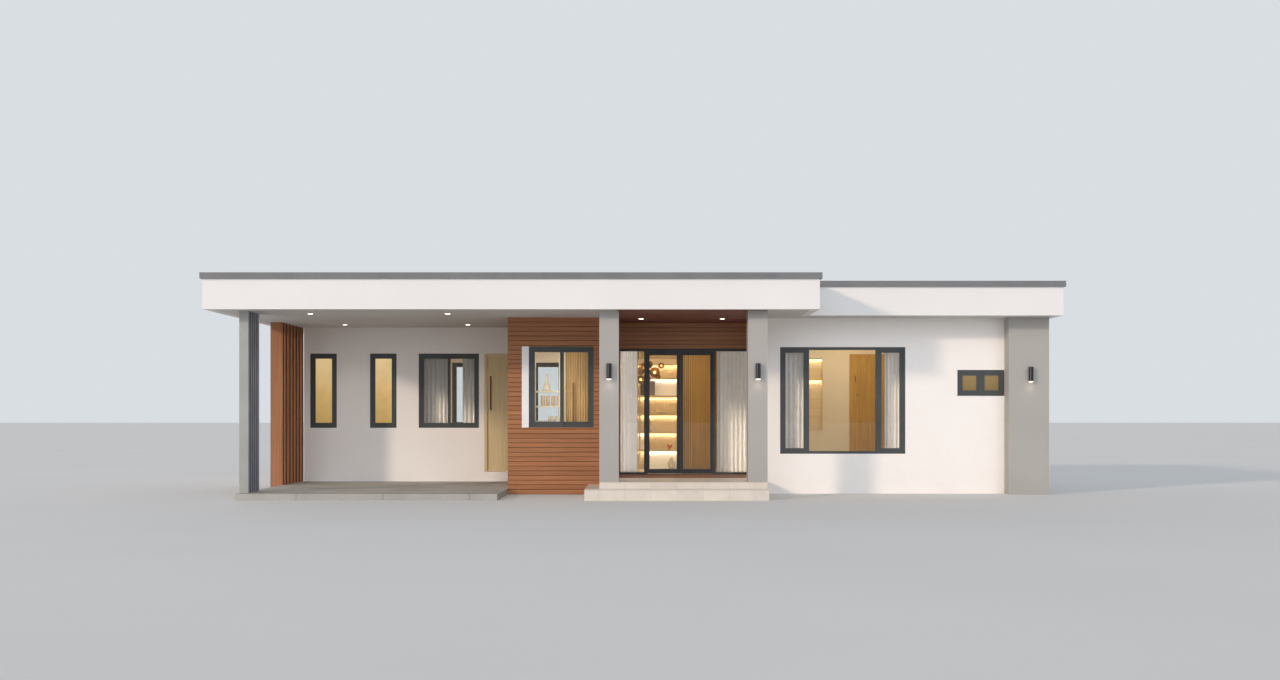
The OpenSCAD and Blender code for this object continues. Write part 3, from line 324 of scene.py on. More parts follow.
def fluted_column_paint():
    """Sponged render on the blade column, light outside, dark blue-grey down the fluted inner side.

    Sand is 1 to 2 mm across, and its clusters are drawn at 12 mm and 4 mm, so that they show."""
    material, node = blank("column_render_dark_inner_side")
    place = axes_of(node)
    low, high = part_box("carport_column")
    # The darker blue-grey reaches 19.5 mm in, just past the flutes, and stops at the column's front and
    # rear arrises, but on the inner face it comes right across
    dark = node("Math", [place[0], high.x - 0.0195], operation="GREATER_THAN")
    for value, edge, operation in ((place[1], low.y + 0.002, "GREATER_THAN"),
                                   (place[1], high.y - 0.002, "LESS_THAN")):
        inside = node("Math", [value, edge], operation=operation)
        dark = node("Math", [dark, inside], operation="MULTIPLY")
    inner_face = axes_of(node, "NewGeometry", "Normal")[0]
    inner_face = node("Math", [inner_face, 0.5], operation="GREATER_THAN")
    dark = node("Math", [dark, inner_face], operation="MAXIMUM")
    outer = mottled(node, "#ABACA6", "#A3A49E", 500, 4.0, 0.35, 0.65)
    inner = mottled(node, "#A2A5AF", "#989BA5", 500, 4.0, 0.35, 0.65)
    # Painted shade: the flutes are darker from 6 mm in
    flute = node("Math", [place[0], high.x - 0.006], operation="LESS_THAN")
    inner = node("Mix", {0: flute, 6: inner, 7: "#5E6068"}, **OF_COLOURS)
    colour = node("Mix", {0: dark, 6: outer, 7: inner}, **OF_COLOURS)
    grain = clouds(node, 12, 5.0)
    speckle = node("MapRange", [grain, 0.3, 0.7, 0.0, 0.08])
    colour = node("Mix", {0: speckle, 6: colour, 7: "#7B7C78"}, **OF_COLOURS)
    return coated(material, node, [(grain, 0.5), (clouds(node, 4, 2.0), 0.15)], Base_Color=colour,
                  Roughness=0.86, IOR=1.5)


def broomed_concrete():
    """Concrete slab, broomed across: fine scratches, pale patches where it dried first, sawn joints.

    The broom's marks are 2 to 3 mm apart, and drawn at 11 mm, so that they show."""
    material, node = blank("broomed_concrete")
    place = axes_of(node)
    joints = node("Math", [near_line(node, place[0], 1.5, 0.004, -0.04),
                           near_line(node, place[1], 1.5, 0.004, 0.35)], operation="MAXIMUM")
    colour = mottled(node, "#B9B6B0", "#A5A29C", 800, 6.0)
    pitted = clouds(node, 22, 4.0, 0.35, 0.7, 0.0, 0.25)
    colour = node("Mix", {0: pitted, 6: colour, 7: "#8C8983"}, **OF_COLOURS)
    colour = node("Mix", {0: joints, 6: colour, 7: "#6E6B66"}, **OF_COLOURS)
    body = node("Math", [1.0, joints], operation="SUBTRACT")
    return coated(material, node, [(body, 3.0), (clouds(node, (670, 11, 11), 4.0), 0.8)],
                  Base_Color=colour, Roughness=0.85, IOR=1.5)


def float_glass():
    """Clear float glass: it shows what lies behind with a faint green, and a little dirt dulls it."""
    material, node = blank("clear_float_glass")
    return coated(material, node, lamp_tint="#FAFCFB", IOR=1.5, Transmission_Weight=1.0,
                  Base_Color=mottled(node, "#FAFCFB", "#F6F9F8", 240, 5.0),
                  Roughness=clouds(node, 240, 5.0, 0.45, 0.8, 0.0, 0.03))


def smoked_glass():
    """Blown glass with a brown smoke in it, which the eye looks through at a slant near the rim."""
    material, node = blank("smoked_blown_glass")
    rim = node("LayerWeight", {"Blend": 0.35}, out="Facing")
    middle = mottled(node, "#E2C27E", "#CFAE6A", 60)
    colour = node("Mix", {0: rim, 6: middle, 7: "#6A5220"}, **OF_COLOURS)
    return coated(material, node, [(clouds(node, 30, 2.0), 0.3)], lamp_tint="#C9AE72",
                  Base_Color=colour, Roughness=0.04, IOR=1.5, Transmission_Weight=0.9)


def etched_glass():
    """Acid-etched glass with a painted glow of its own, which stands for a lamp behind it: soft, duller
    towards the sill and in the bathroom.

    The etched grain is under 0.1 mm across, and drawn at 5 mm, so that it shows."""
    material, node = blank("etched_glass_painted_glow")
    place = axes_of(node)
    # From sill to head, in metres: first the slim panes, then the bathroom's at the front right
    rise = node("MapRange", [place[2], 1.25, 2.72])
    slim = node("ValToRGB", [rise], stops=[(0.0, "#B08F52"), (0.45, "#C9A96C"), (1.0, "#EACE98")])
    rise = node("MapRange", [place[2], 1.84, 2.33])
    bath = node("Mix", {0: rise, 6: "#64512F", 7: "#7C6943"}, **OF_COLOURS)
    right = node("Math", [place[0], 5.0], operation="GREATER_THAN")
    before = node("Math", [place[1], -2.0], operation="LESS_THAN")
    in_bath = node("Math", [right, before], operation="MULTIPLY")
    colour = node("Mix", {0: in_bath, 6: slim, 7: bath}, **OF_COLOURS)
    cloud = clouds(node, 160, 3.0, 0.3, 0.7, 0.0, 0.14)
    colour = node("Mix", {0: cloud, 6: colour, 7: "#8F7446"}, **OF_COLOURS)
    # Painted glow: the etched glass gives off light of its own, though it is no lamp
    return coated(material, node, [(clouds(node, 5, 2.0), 0.2)], Base_Color=colour,
                  Emission_Color=colour, Emission_Strength=0.62, Roughness=0.55, IOR=1.5)


def woven_linen():
    """Undyed linen: warp and weft show as a fine even grid, softened by sheen.

    Threads are 0.6 mm apart, and drawn at 3 mm, so that they show close up. A Wave node of scale 1
    has its bands 2 pi / 20 m apart."""
    material, node = blank("woven_linen")
    flat = node("UVMap", uv_map="flat_cloth")
    threads = [node("TexWave", {"Vector": flat, "Scale": 2 * math.pi / 20 / 0.003, "Distortion": 1.2,
                                "Detail": 2.0, "Detail Scale": 3.0}, bands_direction=way, out=1)
               for way in ("X", "Y")]
    weave = node("Math", threads, operation="MULTIPLY")
    slub = node("TexNoise", {"Vector": flat, "Scale": 1000 / 110, "Detail": 6.0})
    slub = node("MapRange", [slub, 0.3, 0.7])
    colour = node("Mix", {0: slub, 6: "#F8F4F1", 7: "#F1ECE8"}, **OF_COLOURS)
    gaps = node("MapRange", [weave, 0.0, 1.0, 0.08, 0.0])
    colour = node("Mix", {0: gaps, 6: colour, 7: "#C9C1B8"}, **OF_COLOURS)
    return coated(material, node, [(weave, 0.1)], Base_Color=colour, Roughness=0.92, IOR=1.5,
                  Sheen_Weight=0.3, Sheen_Roughness=0.5)


def glazed_ceramic(name, glaze, deep):
    """Glazed ceramic: a wet gloss over a colour that pools darker in places, and a ripple of 8 mm."""
    material, node = blank(name)
    return coated(material, node, [(clouds(node, 8, 2.0), 0.1)], IOR=1.52, Roughness=0.18,
                  Coat_Weight=0.4, Base_Color=mottled(node, glaze, deep, 45, 4.0, 0.35, 0.65))


# Number of boards and their pitch in metres: cladding, over the entrance, soffit and decking
COURSES = 38
COURSE = SOFFIT_Z / COURSES / 1000
HEAD_BOARDS = 6
HEAD_BOARD = 0.085
LININGS = 40
LINING = 0.0867
DECK_BOARDS = 12
DECKING = 1.73 / DECK_BOARDS

# Width of the grooves between boards, and the height where those over the entrance start, in metres
GROOVE = 0.008
DECK_GROOVE = 0.006
HEAD_FOOT = 2.79

# Pitch of the display shelves, in metres
SHELF_PITCH = 0.397

# Size of the grain along each axis, in millimetres, for boards that lie or stand
FACE_GRAIN = (900, 900, 15)
LYING = (900, 15, 15)
STANDING = (15, 15, 900)
LYING_VENEER = (900, 22, 22)
STANDING_VENEER = (22, 22, 900)
BRUSHED = (6, 6, 330)

finishes = {
    # Walls, fascia and columns: sponged render, flat and slightly sandy
    "wall": sponged_render("warm_white_render", "#F8F3EE", "#F4EEE8", "#D8D0C6"),
    "fascia": sponged_render("white_fascia_render", "#ECE9E6", "#E8E5E2", "#DAD6D2", grain_mm=18,
                             grain_depth=0.3, foot=0.01),
    "column": sponged_render("grey_column_render", "#B0ACA7", "#A9A5A0", "#908B82"),
    "blade": fluted_column_paint(),
    # Roof, slab and tiled floors
    "roof": roof_covering(),
    "concrete": broomed_concrete(),
    "step": laid_tiles("honed_step_tiles", "#DED5C9", "#D7CDC0", "#C4BAAC", 0.45, (-0.81, -4.85),
                       nosing_tops=(0.293, 0.178)),
    "floor": laid_tiles("polished_floor_tiles", "#D8CDBC", "#CBBFAD", "#A79C8C", 0.6, (-6.92, -0.0),
                        roughness=0.25),
    # Timber out of doors: stain or oil in sawn boards, warm and matt
    "cladding": sawn_boards("stained_cladding_boards", "#855335", "#A56E48", "#B77F55", FACE_GRAIN, 2,
                            COURSE, 0.0, GROOVE),
    "lining": sawn_boards("stained_soffit_boards", "#653A2C", "#7A4A3D", "#8A5847", LYING, 1,
                          LINING, -5.0, GROOVE),
    "head": sawn_boards("stained_head_boards", "#92674A", "#AD7D5A", "#C18E69", LYING, 2,
                        HEAD_BOARD, HEAD_FOOT, GROOVE),
    # The fins' faces that look left or right are darkened by painted shade
    "fin": sawn_boards("oiled_fin_timber", "#845036", "#A76F4A", "#B98058", STANDING, 1,
                       0.27, -0.25, 0.0, tone=0.06, painted_side_shade=0.13),
    "decking": sawn_boards("oiled_decking", "#75503C", "#966852", "#A87960", LYING, 1, DECKING,
                           -3.1, DECK_GROOVE),
    "door": sawn_boards("clear_finished_oak", "#C3AD7E", "#DAC596", "#E8D7A9", STANDING, 0, 2.0,
                        -9.0, 0.0, tone=0.02, roughness=0.5),
    # Painted, powder-coated and rubber parts: one even colour with a satin shine
    "side_board": satin_skin("white_painted_board", "#F2EFED", "#ECE9E7", roughness=0.5),
    "cap": satin_skin("grey_coated_steel_cap", "#7D7D7E", "#767677", roughness=0.48, ripple_mm=300),
    "frame": satin_skin("slate_coated_aluminium", "#4D5051", "#474A4B"),
    "entry_frame": satin_skin("charcoal_coated_aluminium", "#464A4E", "#404448"),
    "rim": satin_skin("white_coated_rim", "#EDEBE6", "#E4E1DB", roughness=0.4),
    "seal": satin_skin("black_rubber_seal", "#1E1F20", "#18191A", roughness=0.7),
    # Glass: clear, smoked, and etched with a painted glow for a lamp behind it
    "glass": float_glass(),
    "smoked": smoked_glass(),
    "etched": etched_glass(),
    # Bare metal: brushed, so that its highlights run in streaks
    "bronze": brushed_metal("brushed_bronze", "#8A6A48", "#5E462F", BRUSHED, 0.36),
    "steel": brushed_metal("brushed_steel", "#B9BABC", "#8E9093", BRUSHED, 0.34),
    "brass": brushed_metal("satin_brass", "#D9A94E", "#A97C31", (11, 11, 80), 0.28),
    "lamp": brushed_metal("dark_satin_lamp_metal", "#6A6A6E", "#4A4A4E", BRUSHED, 0.38),
    # Lit lenses, strips and bulbs: an even glow
    "lens": glowing("opal_lamp_lens", "#FFF8EC", "#FFF4E2", 1.8),
    "downlight": glowing("bright_downlight_lens", "#FFF8EC", "#FFF3E0", 7.0),
    "led": glowing("led_strip_behind_diffuser", "#FFFCF8", "#FFFAF2", 27.0),
    "bulb": glowing("warm_bulb", "#FFF0CC", "#FFE9BA", 7.0),
    # Inside: matt cloth, paint and box board, and veneer, lacquer and painted steel with a low sheen
    "linen": woven_linen(),
    "paint": sponged_render("beige_wall_paint", "#DFD2B8", "#D8CAAE", "#CCBEA4", grain_mm=20,
                            grain_depth=0.1, foot=0.01),
    "shelf": sawn_boards("ash_veneer", "#CBB07C", "#DAC294", "#E7D2A8", LYING_VENEER, 2, SHELF_PITCH,
                         0.7, 0.0, tone=0.03, roughness=0.45),
    "panel": sawn_boards("golden_oak_veneer", "#957226", "#B28730", "#C69E42", STANDING_VENEER, 0, 0.45,
                         -1.8, 0.004, tone=0.04, roughness=0.42),
    "slat": sawn_boards("pale_oak_slats", "#BE9A5E", "#D4B276", "#E0C48E", STANDING_VENEER, 0, 0.03,
                        -1.51, 0.004, tone=0.08, roughness=0.45),
    "honey": sawn_boards("honey_veneer", "#B08A4E", "#C49F63", "#D2B079", STANDING_VENEER, 0, 0.048,
                         -1.51, 0.0, tone=0.06, roughness=0.45),
    "pale_rack": satin_skin("cream_painted_steel", "#E0D8BE", "#D8CFB2", roughness=0.45),
    "pale_board": satin_skin("cream_lacquered_board", "#FAF6EE", "#F5EFE4", roughness=0.5),
    "brown_board": satin_skin("brown_box_board", "#6F5530", "#654C2A", roughness=0.7),
    "grey_board": satin_skin("grey_box_board", "#8A7A74", "#80706A", roughness=0.7),
    # Pots and ornament: glazed, with sharp small highlights
    "amber": glazed_ceramic("amber_ceramic", "#E06A1E", "#C05412"),
    "cream": glazed_ceramic("cream_ceramic", "#E6DCC8", "#D6C8AE"),
    "blush": glazed_ceramic("blush_ceramic", "#D8BFA8", "#C4A48A"),
}

# Finish of each CAD node that is shown as it is
dressed = {
    "wall": ["carport_rear_wall", "side_door_wall", "left_wall", "right_wall", "rear_wall",
             "kitchen_side_wall", "kitchen_front_wall", "porch_side_walls", "wing_wall_piers",
             "wing_wall_bands"],
    "fascia": ["front_fascia", "side_fascias", "rear_fascia"],
    "column": ["entry_columns", "corner_pier"],
    "blade": ["carport_column"],
    "roof": ["main_roof_deck", "wing_roof_deck"],
    "concrete": ["carport_slab"],
    "step": ["entry_lower_step", "entry_platform"],
    "floor": ["house_floor"],
    "head": ["entry_head_wall"],
    "fin": ["fin_screen"],
    "side_board": ["window_side_board"],
    "cap": ["parapet_cap"],
    "frame": ["carport_window_frames", "front_window_frames", "rear_window_frames", "side_window_frames"],
    "entry_frame": ["sidelight_frames", "entry_head_rail", "entry_leaf_left", "entry_leaf_right"],
    "glass": ["window_glass", "entry_glass_left", "entry_glass_right"],
    "etched": ["frosted_glass"],
    "door": ["side_door_jambs", "side_door_head", "side_door_leaf"],
    "bronze": ["side_door_pull"],
    "steel": ["door_hinges"],
    "lamp": ["wall_lights"],
    "paint": ["inner_walls"],
    "shelf": ["display_shelves", "shelf_uprights"],
    "panel": ["timber_panels"],
}
for finish, names in dressed.items():
    for name in names:
        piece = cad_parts[name]
        if not piece.material_slots:
            piece.data.materials.append(finishes[finish])
        for slot in piece.material_slots:
            slot.material = finishes[finish]


def settled(name, mesh, finish, replaces=()):
    """Piece with its place in its mesh, which rides on the house."""
    mesh.name = name
    piece = bpy.data.objects.new(name, mesh)
    scene.collection.objects.link(piece)
    mesh.materials.clear()
    mesh.materials.append(finishes[finish])
    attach(piece, "house")
    if replaces:
        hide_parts(*replaces)
    return piece


def mesh_of(build, smooth=False):
    """Closed mesh that a function fills, with its faces outwards."""
    bm = bmesh.new()
    build(bm)
    bmesh.ops.recalc_face_normals(bm, faces=bm.faces)
    mesh = bpy.data.meshes.new("made")
    bm.to_mesh(mesh)
    bm.free()
    for face in mesh.polygons:
        face.use_smooth = smooth
    return mesh


def joined(*meshes):
    """One mesh out of several."""
    bm = bmesh.new()
    for mesh in meshes:
        bm.from_mesh(mesh)
    whole = bpy.data.meshes.new("joined")
    bm.to_mesh(whole)
    bm.free()
    return whole


def add_block(bm, low, high, edge=0.0):
    """Block between two corners, its edges eased by a small bevel."""
    low, high = Vector(low), Vector(high)
    size = high - low
    place = Matrix.Translation((low + high) / 2) @ Matrix.Diagonal((*size, 1))
    made = bmesh.ops.create_cube(bm, size=1, matrix=place)
    if edge:
        edges = dict.fromkeys(e for v in made["verts"] for e in v.link_edges)
        bmesh.ops.bevel(bm, geom=list(edges), offset=min(edge, min(size) * 0.4), segments=2,
                        affect="EDGES", profile=0.6)


def blocks(*rows):
    """One mesh of blocks, each given as (x0, x1, y0, y1, z0, z1, eased edge) in millimetres.

    Sharp blocks are made first: after a bevel their faces would come in another order on each run."""
    def build(bm):
        """Adds the blocks one by one."""
        for x0, x1, y0, y1, z0, z1, edge in sorted(rows, key=lambda row: row[-1]):
            add_block(bm, at(x0, y0, z0), at(x1, y1, z1), edge / 1000)
    return mesh_of(build)


def add_prism(bm, section, start, along, out, up):
    """Prism of a section, given as (out, up) points, that runs from start by the vector along."""
    along, out, up = Vector(along), Vector(out), Vector(up)
    ends = [[bm.verts.new(start + out * o + up * u + shift) for o, u in section]
            for shift in (Vector(), along)]
    bm.faces.new(ends[0])
    bm.faces.new(ends[1][::-1])
    for i in range(len(section)):
        j = (i + 1) % len(section)
        bm.faces.new([ends[0][i], ends[0][j], ends[1][j], ends[1][i]])


def add_rod(bm, start, end, radius, sides=8):
    """Round rod between two points."""
    start, end = Vector(start), Vector(end)
    along = end - start
    out = along.orthogonal().normalized()
    side = along.cross(out).normalized()
    section = [(radius * math.cos(2 * math.pi * i / sides), radius * math.sin(2 * math.pi * i / sides))
               for i in range(sides)]
    add_prism(bm, section, start, along, out, side)


def add_turned(bm, centre, profile, steps=24):
    """Turned shape about an upright axis, from (radius, height) points that start and end on the axis."""
    centre = Vector(centre)
    rings = []
    for radius, height in profile:
        if radius < 1e-6:
            rings.append([bm.verts.new(centre + Vector((0, 0, height)))])
        else:
            rings.append([bm.verts.new(centre + Vector((
                radius * math.cos(2 * math.pi * i / steps), radius * math.sin(2 * math.pi * i / steps),
                height))) for i in range(steps)])
    for lower, upper in zip(rings, rings[1:]):
        for i in range(steps):
            j = (i + 1) % steps
            corners = [lower[i % len(lower)], lower[j % len(lower)], upper[j % len(upper)],
                       upper[i % len(upper)]]
            bm.faces.new(list(dict.fromkeys(corners)))


def turned(places, steps=28):
    """One mesh of turned pieces, each given as (profile, x, y, z)."""
    def build(bm):
        """Adds the pieces one by one."""
        for profile, x, y, z in places:
            add_turned(bm, at(x, y, z), profile, steps)
    return mesh_of(build, True)


def row_tree():
    """Geometry Nodes tree that sets copies of one piece in a straight row."""
    tree = bpy.data.node_groups.new("straight_row", "GeometryNodeTree")
    node = functools.partial(add_node, tree)
    for name, kind in (("Piece", "NodeSocketObject"), ("Count", "NodeSocketInt"),
                       ("Step", "NodeSocketVector"), ("Finish", "NodeSocketMaterial")):
        tree.interface.new_socket(name=name, in_out="INPUT", socket_type=kind)
    tree.interface.new_socket(name="Row", in_out="OUTPUT", socket_type="NodeSocketGeometry")
    given = node("NodeGroupInput", out=None).outputs
    piece = node("GeometryNodeObjectInfo", {"Object": given["Piece"], "As Instance": True},
                 out="Geometry")
    line = node("GeometryNodeMeshLine", {"Count": given["Count"], "Offset": given["Step"]},
                mode="OFFSET")
    copies = node("GeometryNodeInstanceOnPoints", {"Points": line, "Instance": piece})
    solid = node("GeometryNodeRealizeInstances", [copies])
    faced = node("GeometryNodeSetMaterial", {"Geometry": solid, "Material": given["Finish"]})
    node("NodeGroupOutput", [faced], out=None)
    return tree


straight_row = row_tree()


def in_row(unit, count, step, finish):
    """Plain mesh of a row of copies of the unit mesh, each one step from the last."""
    source = bpy.data.objects.new("unit", unit)
    carrier = bpy.data.objects.new("row", bpy.data.meshes.new("row"))
    scene.collection.objects.link(source)
    scene.collection.objects.link(carrier)
    rows = carrier.modifiers.new("row", "NODES")
    rows.node_group = straight_row
    given = {"Piece": source, "Count": count, "Step": step, "Finish": finishes[finish]}
    for item in straight_row.interface.items_tree:
        if item.in_out == "INPUT":
            rows[item.identifier] = given[item.name]
    graph = bpy.context.evaluated_depsgraph_get()
    mesh = bpy.data.meshes.new_from_object(carrier.evaluated_get(graph))
    bpy.data.objects.remove(carrier)
    bpy.data.objects.remove(source)
    return mesh


def board_section(depth, floor, pitch, groove, chamfer, foot=True):
    """Section of a board as (out, up), with the groove under its face that parts it from the next."""
    lower = [(0, 0), (floor, 0), (floor, groove), (depth - chamfer, groove), (depth, groove + chamfer)]
    if not foot:
        lower = [(0, 0), (depth, 0)]
    return lower + [(depth, pitch - chamfer), (depth - chamfer, pitch), (0, pitch)]


def length_of(section, start, along, out, up):
    """One length of a section, such as a board, from its start by the vector along."""
    return mesh_of(lambda bm: add_prism(bm, section, start, along, out, up))


# Cladding of the kitchen block, course by course, with the boards cut round the window
CLAD_T = 25
CLAD_FACE_Y = KITCHEN_Y + CLAD_T
CLAD_REAR_Y = 5150
WINDOW_X0, WINDOW_X1 = 4900, 6105
WINDOW_SILL, WINDOW_HEAD = 1250, 2760

# How far a groove's floor lies from the board's back, and the chamfer of its edges, in metres
CLAD_FLOOR = 0.010
CLAD_CHAMFER = 0.0025

# Directions in the shared frame, where the front looks along minus Y
OUT_FRONT = (0, -1, 0)
REARWARDS = (0, 1, 0)
UPRIGHT = (0, 0, 1)
DOWN = (0, 0, -1)
RIGHT = (1, 0, 0)


def front_board(x0, x1, z, pitch=COURSE, foot=True):
    """Board on the kitchen block's front between two plan lines, as tall as its pitch."""
    section = board_section(CLAD_T / 1000, CLAD_FLOOR, pitch, GROOVE, CLAD_CHAMFER, foot)
    return length_of(section, at(x0, CLAD_FACE_Y, z), ((x1 - x0) / 1000, 0, 0), OUT_FRONT, UPRIGHT)


def front_courses(x0, x1, first, count):
    """Full courses on the kitchen block's front between two plan lines."""
    unit = front_board(x0, x1, first * COURSE * 1000)
    return in_row(unit, count, (0, 0, COURSE), "cladding")


def side_courses(x, out_x, y1):
    """Full courses down one side of the kitchen block, behind the front boards."""
    y0 = CLAD_FACE_Y + 1
    section = board_section(CLAD_T / 1000, CLAD_FLOOR, COURSE, GROOVE, CLAD_CHAMFER)
    unit = length_of(section, at(x, y0, 0), (0, (y1 - y0) / 1000, 0), (out_x, 0, 0), UPRIGHT)
    return in_row(unit, COURSES, (0, 0, COURSE), "cladding")


below = int(WINDOW_SILL / 1000 / COURSE)
above = math.ceil(WINDOW_HEAD / 1000 / COURSE)
sill_gap = (WINDOW_SILL - below * COURSE * 1000) / 1000
head_gap = (above * COURSE * 1000 - WINDOW_HEAD) / 1000
boards = joined(
    front_courses(KITCHEN_X, WINDOW_X0, 0, COURSES),
    front_courses(WINDOW_X1, PORCH_X, 0, COURSES),
    front_courses(WINDOW_X0, WINDOW_X1, 0, below),
    front_courses(WINDOW_X0, WINDOW_X1, above, COURSES - above),
    front_board(WINDOW_X0, WINDOW_X1, below * COURSE * 1000, sill_gap),
    front_board(WINDOW_X0, WINDOW_X1, WINDOW_HEAD, head_gap, foot=False),
    side_courses(KITCHEN_X + CLAD_T, -1, CLAD_REAR_Y),
    side_courses(PORCH_X - CLAD_T, 1, ENTRY_Y),
    blocks((PORCH_X - CLAD_T, PORCH_X, ENTRY_Y, ENTRY_REAR_Y, 0, FLOOR_Z, 0)))
settled("kitchen_boards", boards, "cladding", ["kitchen_cladding"])

# Boards over the entrance, under the porch roof and on the porch floor
DECK_T = 25
LINING_Z = SOFFIT_Z + 20
LINING_FRONT_Y = 150
across_porch = ((WING_X - PORCH_X) / 1000, 0, 0)
unit = length_of(board_section(0.012, 0.004, HEAD_BOARD, GROOVE, 0.002),
                 at(PORCH_X, ENTRY_Y, HEAD_FOOT * 1000), across_porch, OUT_FRONT, UPRIGHT)
settled("head_wall_boards", in_row(unit, HEAD_BOARDS, (0, 0, HEAD_BOARD), "head"), "head")
unit = length_of(board_section(0.020, 0.008, LINING, GROOVE, 0.0025),
                 at(PORCH_X, LINING_FRONT_Y, LINING_Z), across_porch, DOWN, REARWARDS)
settled("soffit_boards", in_row(unit, LININGS, (0, LINING, 0), "lining"), "lining",
        ["porch_soffit"])
unit = length_of(board_section(DECK_T / 1000, 0.012, DECKING, DECK_GROOVE, 0.003),
                 at(PORCH_X, KITCHEN_Y, FLOOR_Z - DECK_T), across_porch, UPRIGHT, REARWARDS)
bed = blocks((PORCH_X, WING_X, KITCHEN_Y, ENTRY_REAR_Y, 0, FLOOR_Z - DECK_T, 0))
settled("porch_decking", joined(in_row(unit, DECK_BOARDS, (0, DECKING, 0), "decking"), bed), "decking",
        ["porch_floor"])

# Curtains: linen gathered into upright folds, hung from a track under the ceiling
CLOTH_TOP = SOFFIT_Z - 8
# How far a full fold stands out from the track, in metres
FOLD_DEPTH = 0.031


def curtain_mesh(x0, x1, y, foot, folds, seed):
    """Folded cloth and its cut size: the folds are shallow at the heading and full at the hem."""
    rng = random.Random(seed)
    middle = at((x0 + x1) / 2, y, 0)
    width = (x1 - x0) / 1000 - 0.006
    steps, rows = folds * 14, 40
    lean = [rng.uniform(-0.35, 0.35) for _ in range(folds + 1)]
    full = [rng.uniform(0.72, 1.0) for _ in range(folds + 1)]
    sway = rng.uniform(0, 6.28)

    def point(s, t):
        """Place on the cloth at a share s of its width and t of its height."""
        fold = s * folds
        i, part = min(int(fold), folds - 1), fold - min(int(fold), folds - 1)
        soft = part * part * (3 - 2 * part)
        size = full[i] * (1 - soft) + full[i + 1] * soft
        tilt = lean[i] * (1 - soft) + lean[i + 1] * soft
        drop = 0.6 + 0.4 * min(1, (1 - t) * 2.2)
        phase = 2 * math.pi * fold + tilt * math.sin(2.3 * t + sway)
        out = FOLD_DEPTH * size * drop * (math.sin(phase) + 0.12 * math.sin(3 * phase)) / 1.1
        # The folds' sides lean over a little, as a soft pleat does
        slip = width / folds * 0.1 * math.sin(2 * phase + tilt)
        edge = min(s, 1 - s) * folds
        x = middle.x - width / 2 + width * s + slip * min(1, edge)
        return Vector((x, middle.y + out, (foot + (CLOTH_TOP - foot) * t) / 1000))

    grid = [[point(i / steps, j / rows) for i in range(steps + 1)] for j in range(rows + 1)]
    spans = [[(row[i + 1] - row[i]).length for i in range(steps)] for row in grid]
    cut = sum(map(sum, spans)) / len(grid)
    mesh = bpy.data.meshes.new("curtain")
    across = steps + 1
    mesh.from_pydata([p for row in grid for p in row], [], [
        (j * across + i, j * across + i + 1, (j + 1) * across + i + 1, (j + 1) * across + i)
        for j in range(rows) for i in range(steps)])
    layer = mesh.uv_layers.new(name="flat_cloth")
    for loop in mesh.loops:
        j, i = divmod(loop.vertex_index, across)
        layer.data[loop.index].uv = (sum(spans[j][:i]), grid[j][i].z)
    for face in mesh.polygons:
        face.use_smooth = True
    return mesh, (cut, (CLOTH_TOP - foot) / 1000)


# Plan lines that the curtains' tracks run on
ENTRY_TRACK_Y = 3875
CARPORT_TRACK_Y = 5245
BEDROOM_TRACK_Y = 2545

# Each curtain's ends, track, foot, folds and the seed that shapes them
curtain_places = {
    "entry_curtain_left": (6580, 6930, ENTRY_TRACK_Y, 325, 4, 3),
    "entry_curtain_right": (8510, 9175, ENTRY_TRACK_Y, 325, 8, 5),
    "carport_curtain_left": (2380, 3005, CARPORT_TRACK_Y, 1100, 7, 7),
    "carport_curtain_right": (3260, 3630, CARPORT_TRACK_Y, 1100, 4, 11),
    "bedroom_curtain_left": (9580, 10110, BEDROOM_TRACK_Y, 630, 6, 13),
    "bedroom_curtain_right": (11620, 12000, BEDROOM_TRACK_Y, 630, 5, 17),
}
for name, place in curtain_places.items():
    cloth, cut_size = curtain_mesh(*place)
    curtain = settled(name, cloth, "linen", ["curtains"])
    thick = curtain.modifiers.new("cloth_thickness", "SOLIDIFY")
    thick.thickness = 0.0016
    thick.offset = 0.0

# Slim tracks that the curtains run in, fixed to the ceiling
tracks = ((6570, 9185, ENTRY_TRACK_Y), (2370, 3640, CARPORT_TRACK_Y), (9570, 12010, BEDROOM_TRACK_Y))
settled("curtain_tracks", blocks(*((x0, x1, y - 11, y + 11, SOFFIT_Z - 16, SOFFIT_Z - 0.5, 2)
                                   for x0, x1, y in tracks)), "rim")

# Lamps: an opal cup under each wall light and a thin cover plate with a shadow line on top of it,
# and for each downlight a pressed rim, dished towards its lens. Profiles are (radius, height) in metres.
WALL_LIGHT_FOOT, WALL_LIGHT_TOP = 2105, 2365
OPAL_CUP = [(0, -0.018), (0.024, -0.016), (0.038, -0.010), (0.0445, -0.001), (0.0445, 0.004), (0, 0.004)]
COVER_PLATE = [(0, -0.002), (0.041, -0.002), (0.041, 0.002), (0.0475, 0.002), (0.0475, 0.007),
               (0.046, 0.009), (0, 0.009)]
DISHED_RIM = [(0, -0.001), (0.0505, -0.001), (0.0505, -0.008), (0.052, -0.010), (0.054, -0.009),
              (0.055, -0.006), (0.055, 0.0), (0, 0.0)]
FLAT_LENS = [(0, -0.0098), (0.047, -0.0096), (0.0502, -0.0080), (0.0502, -0.0012), (0, -0.0012)]
wall_light_places = [(6430, ENTRY_COLUMN_Y - 65), (9025, ENTRY_COLUMN_Y - 65), (14230, 1970 - 65)]
downlight_places = [(x, y) for x in (1060, 3520) for y in (1000, 4000)] + [(6990, 2300), (8520, 2300)]
for name, profile, places, z, finish, slot, replaced in (
        ("wall_light_lenses", OPAL_CUP, wall_light_places, WALL_LIGHT_FOOT, "lens", "lamp_lens", []),
        ("wall_light_caps", COVER_PLATE, wall_light_places, WALL_LIGHT_TOP, "lamp", "lamp_metal", []),
        ("downlight_rims", DISHED_RIM, downlight_places, SOFFIT_Z, "rim", "lamp_metal", ["downlights"]),
        ("downlight_lenses", FLAT_LENS, downlight_places, SOFFIT_Z, "downlight", "lamp_lens",
         ["downlights"])):
    settled(name, turned([(profile, x, y, z) for x, y in places], 32), finish, replaced)

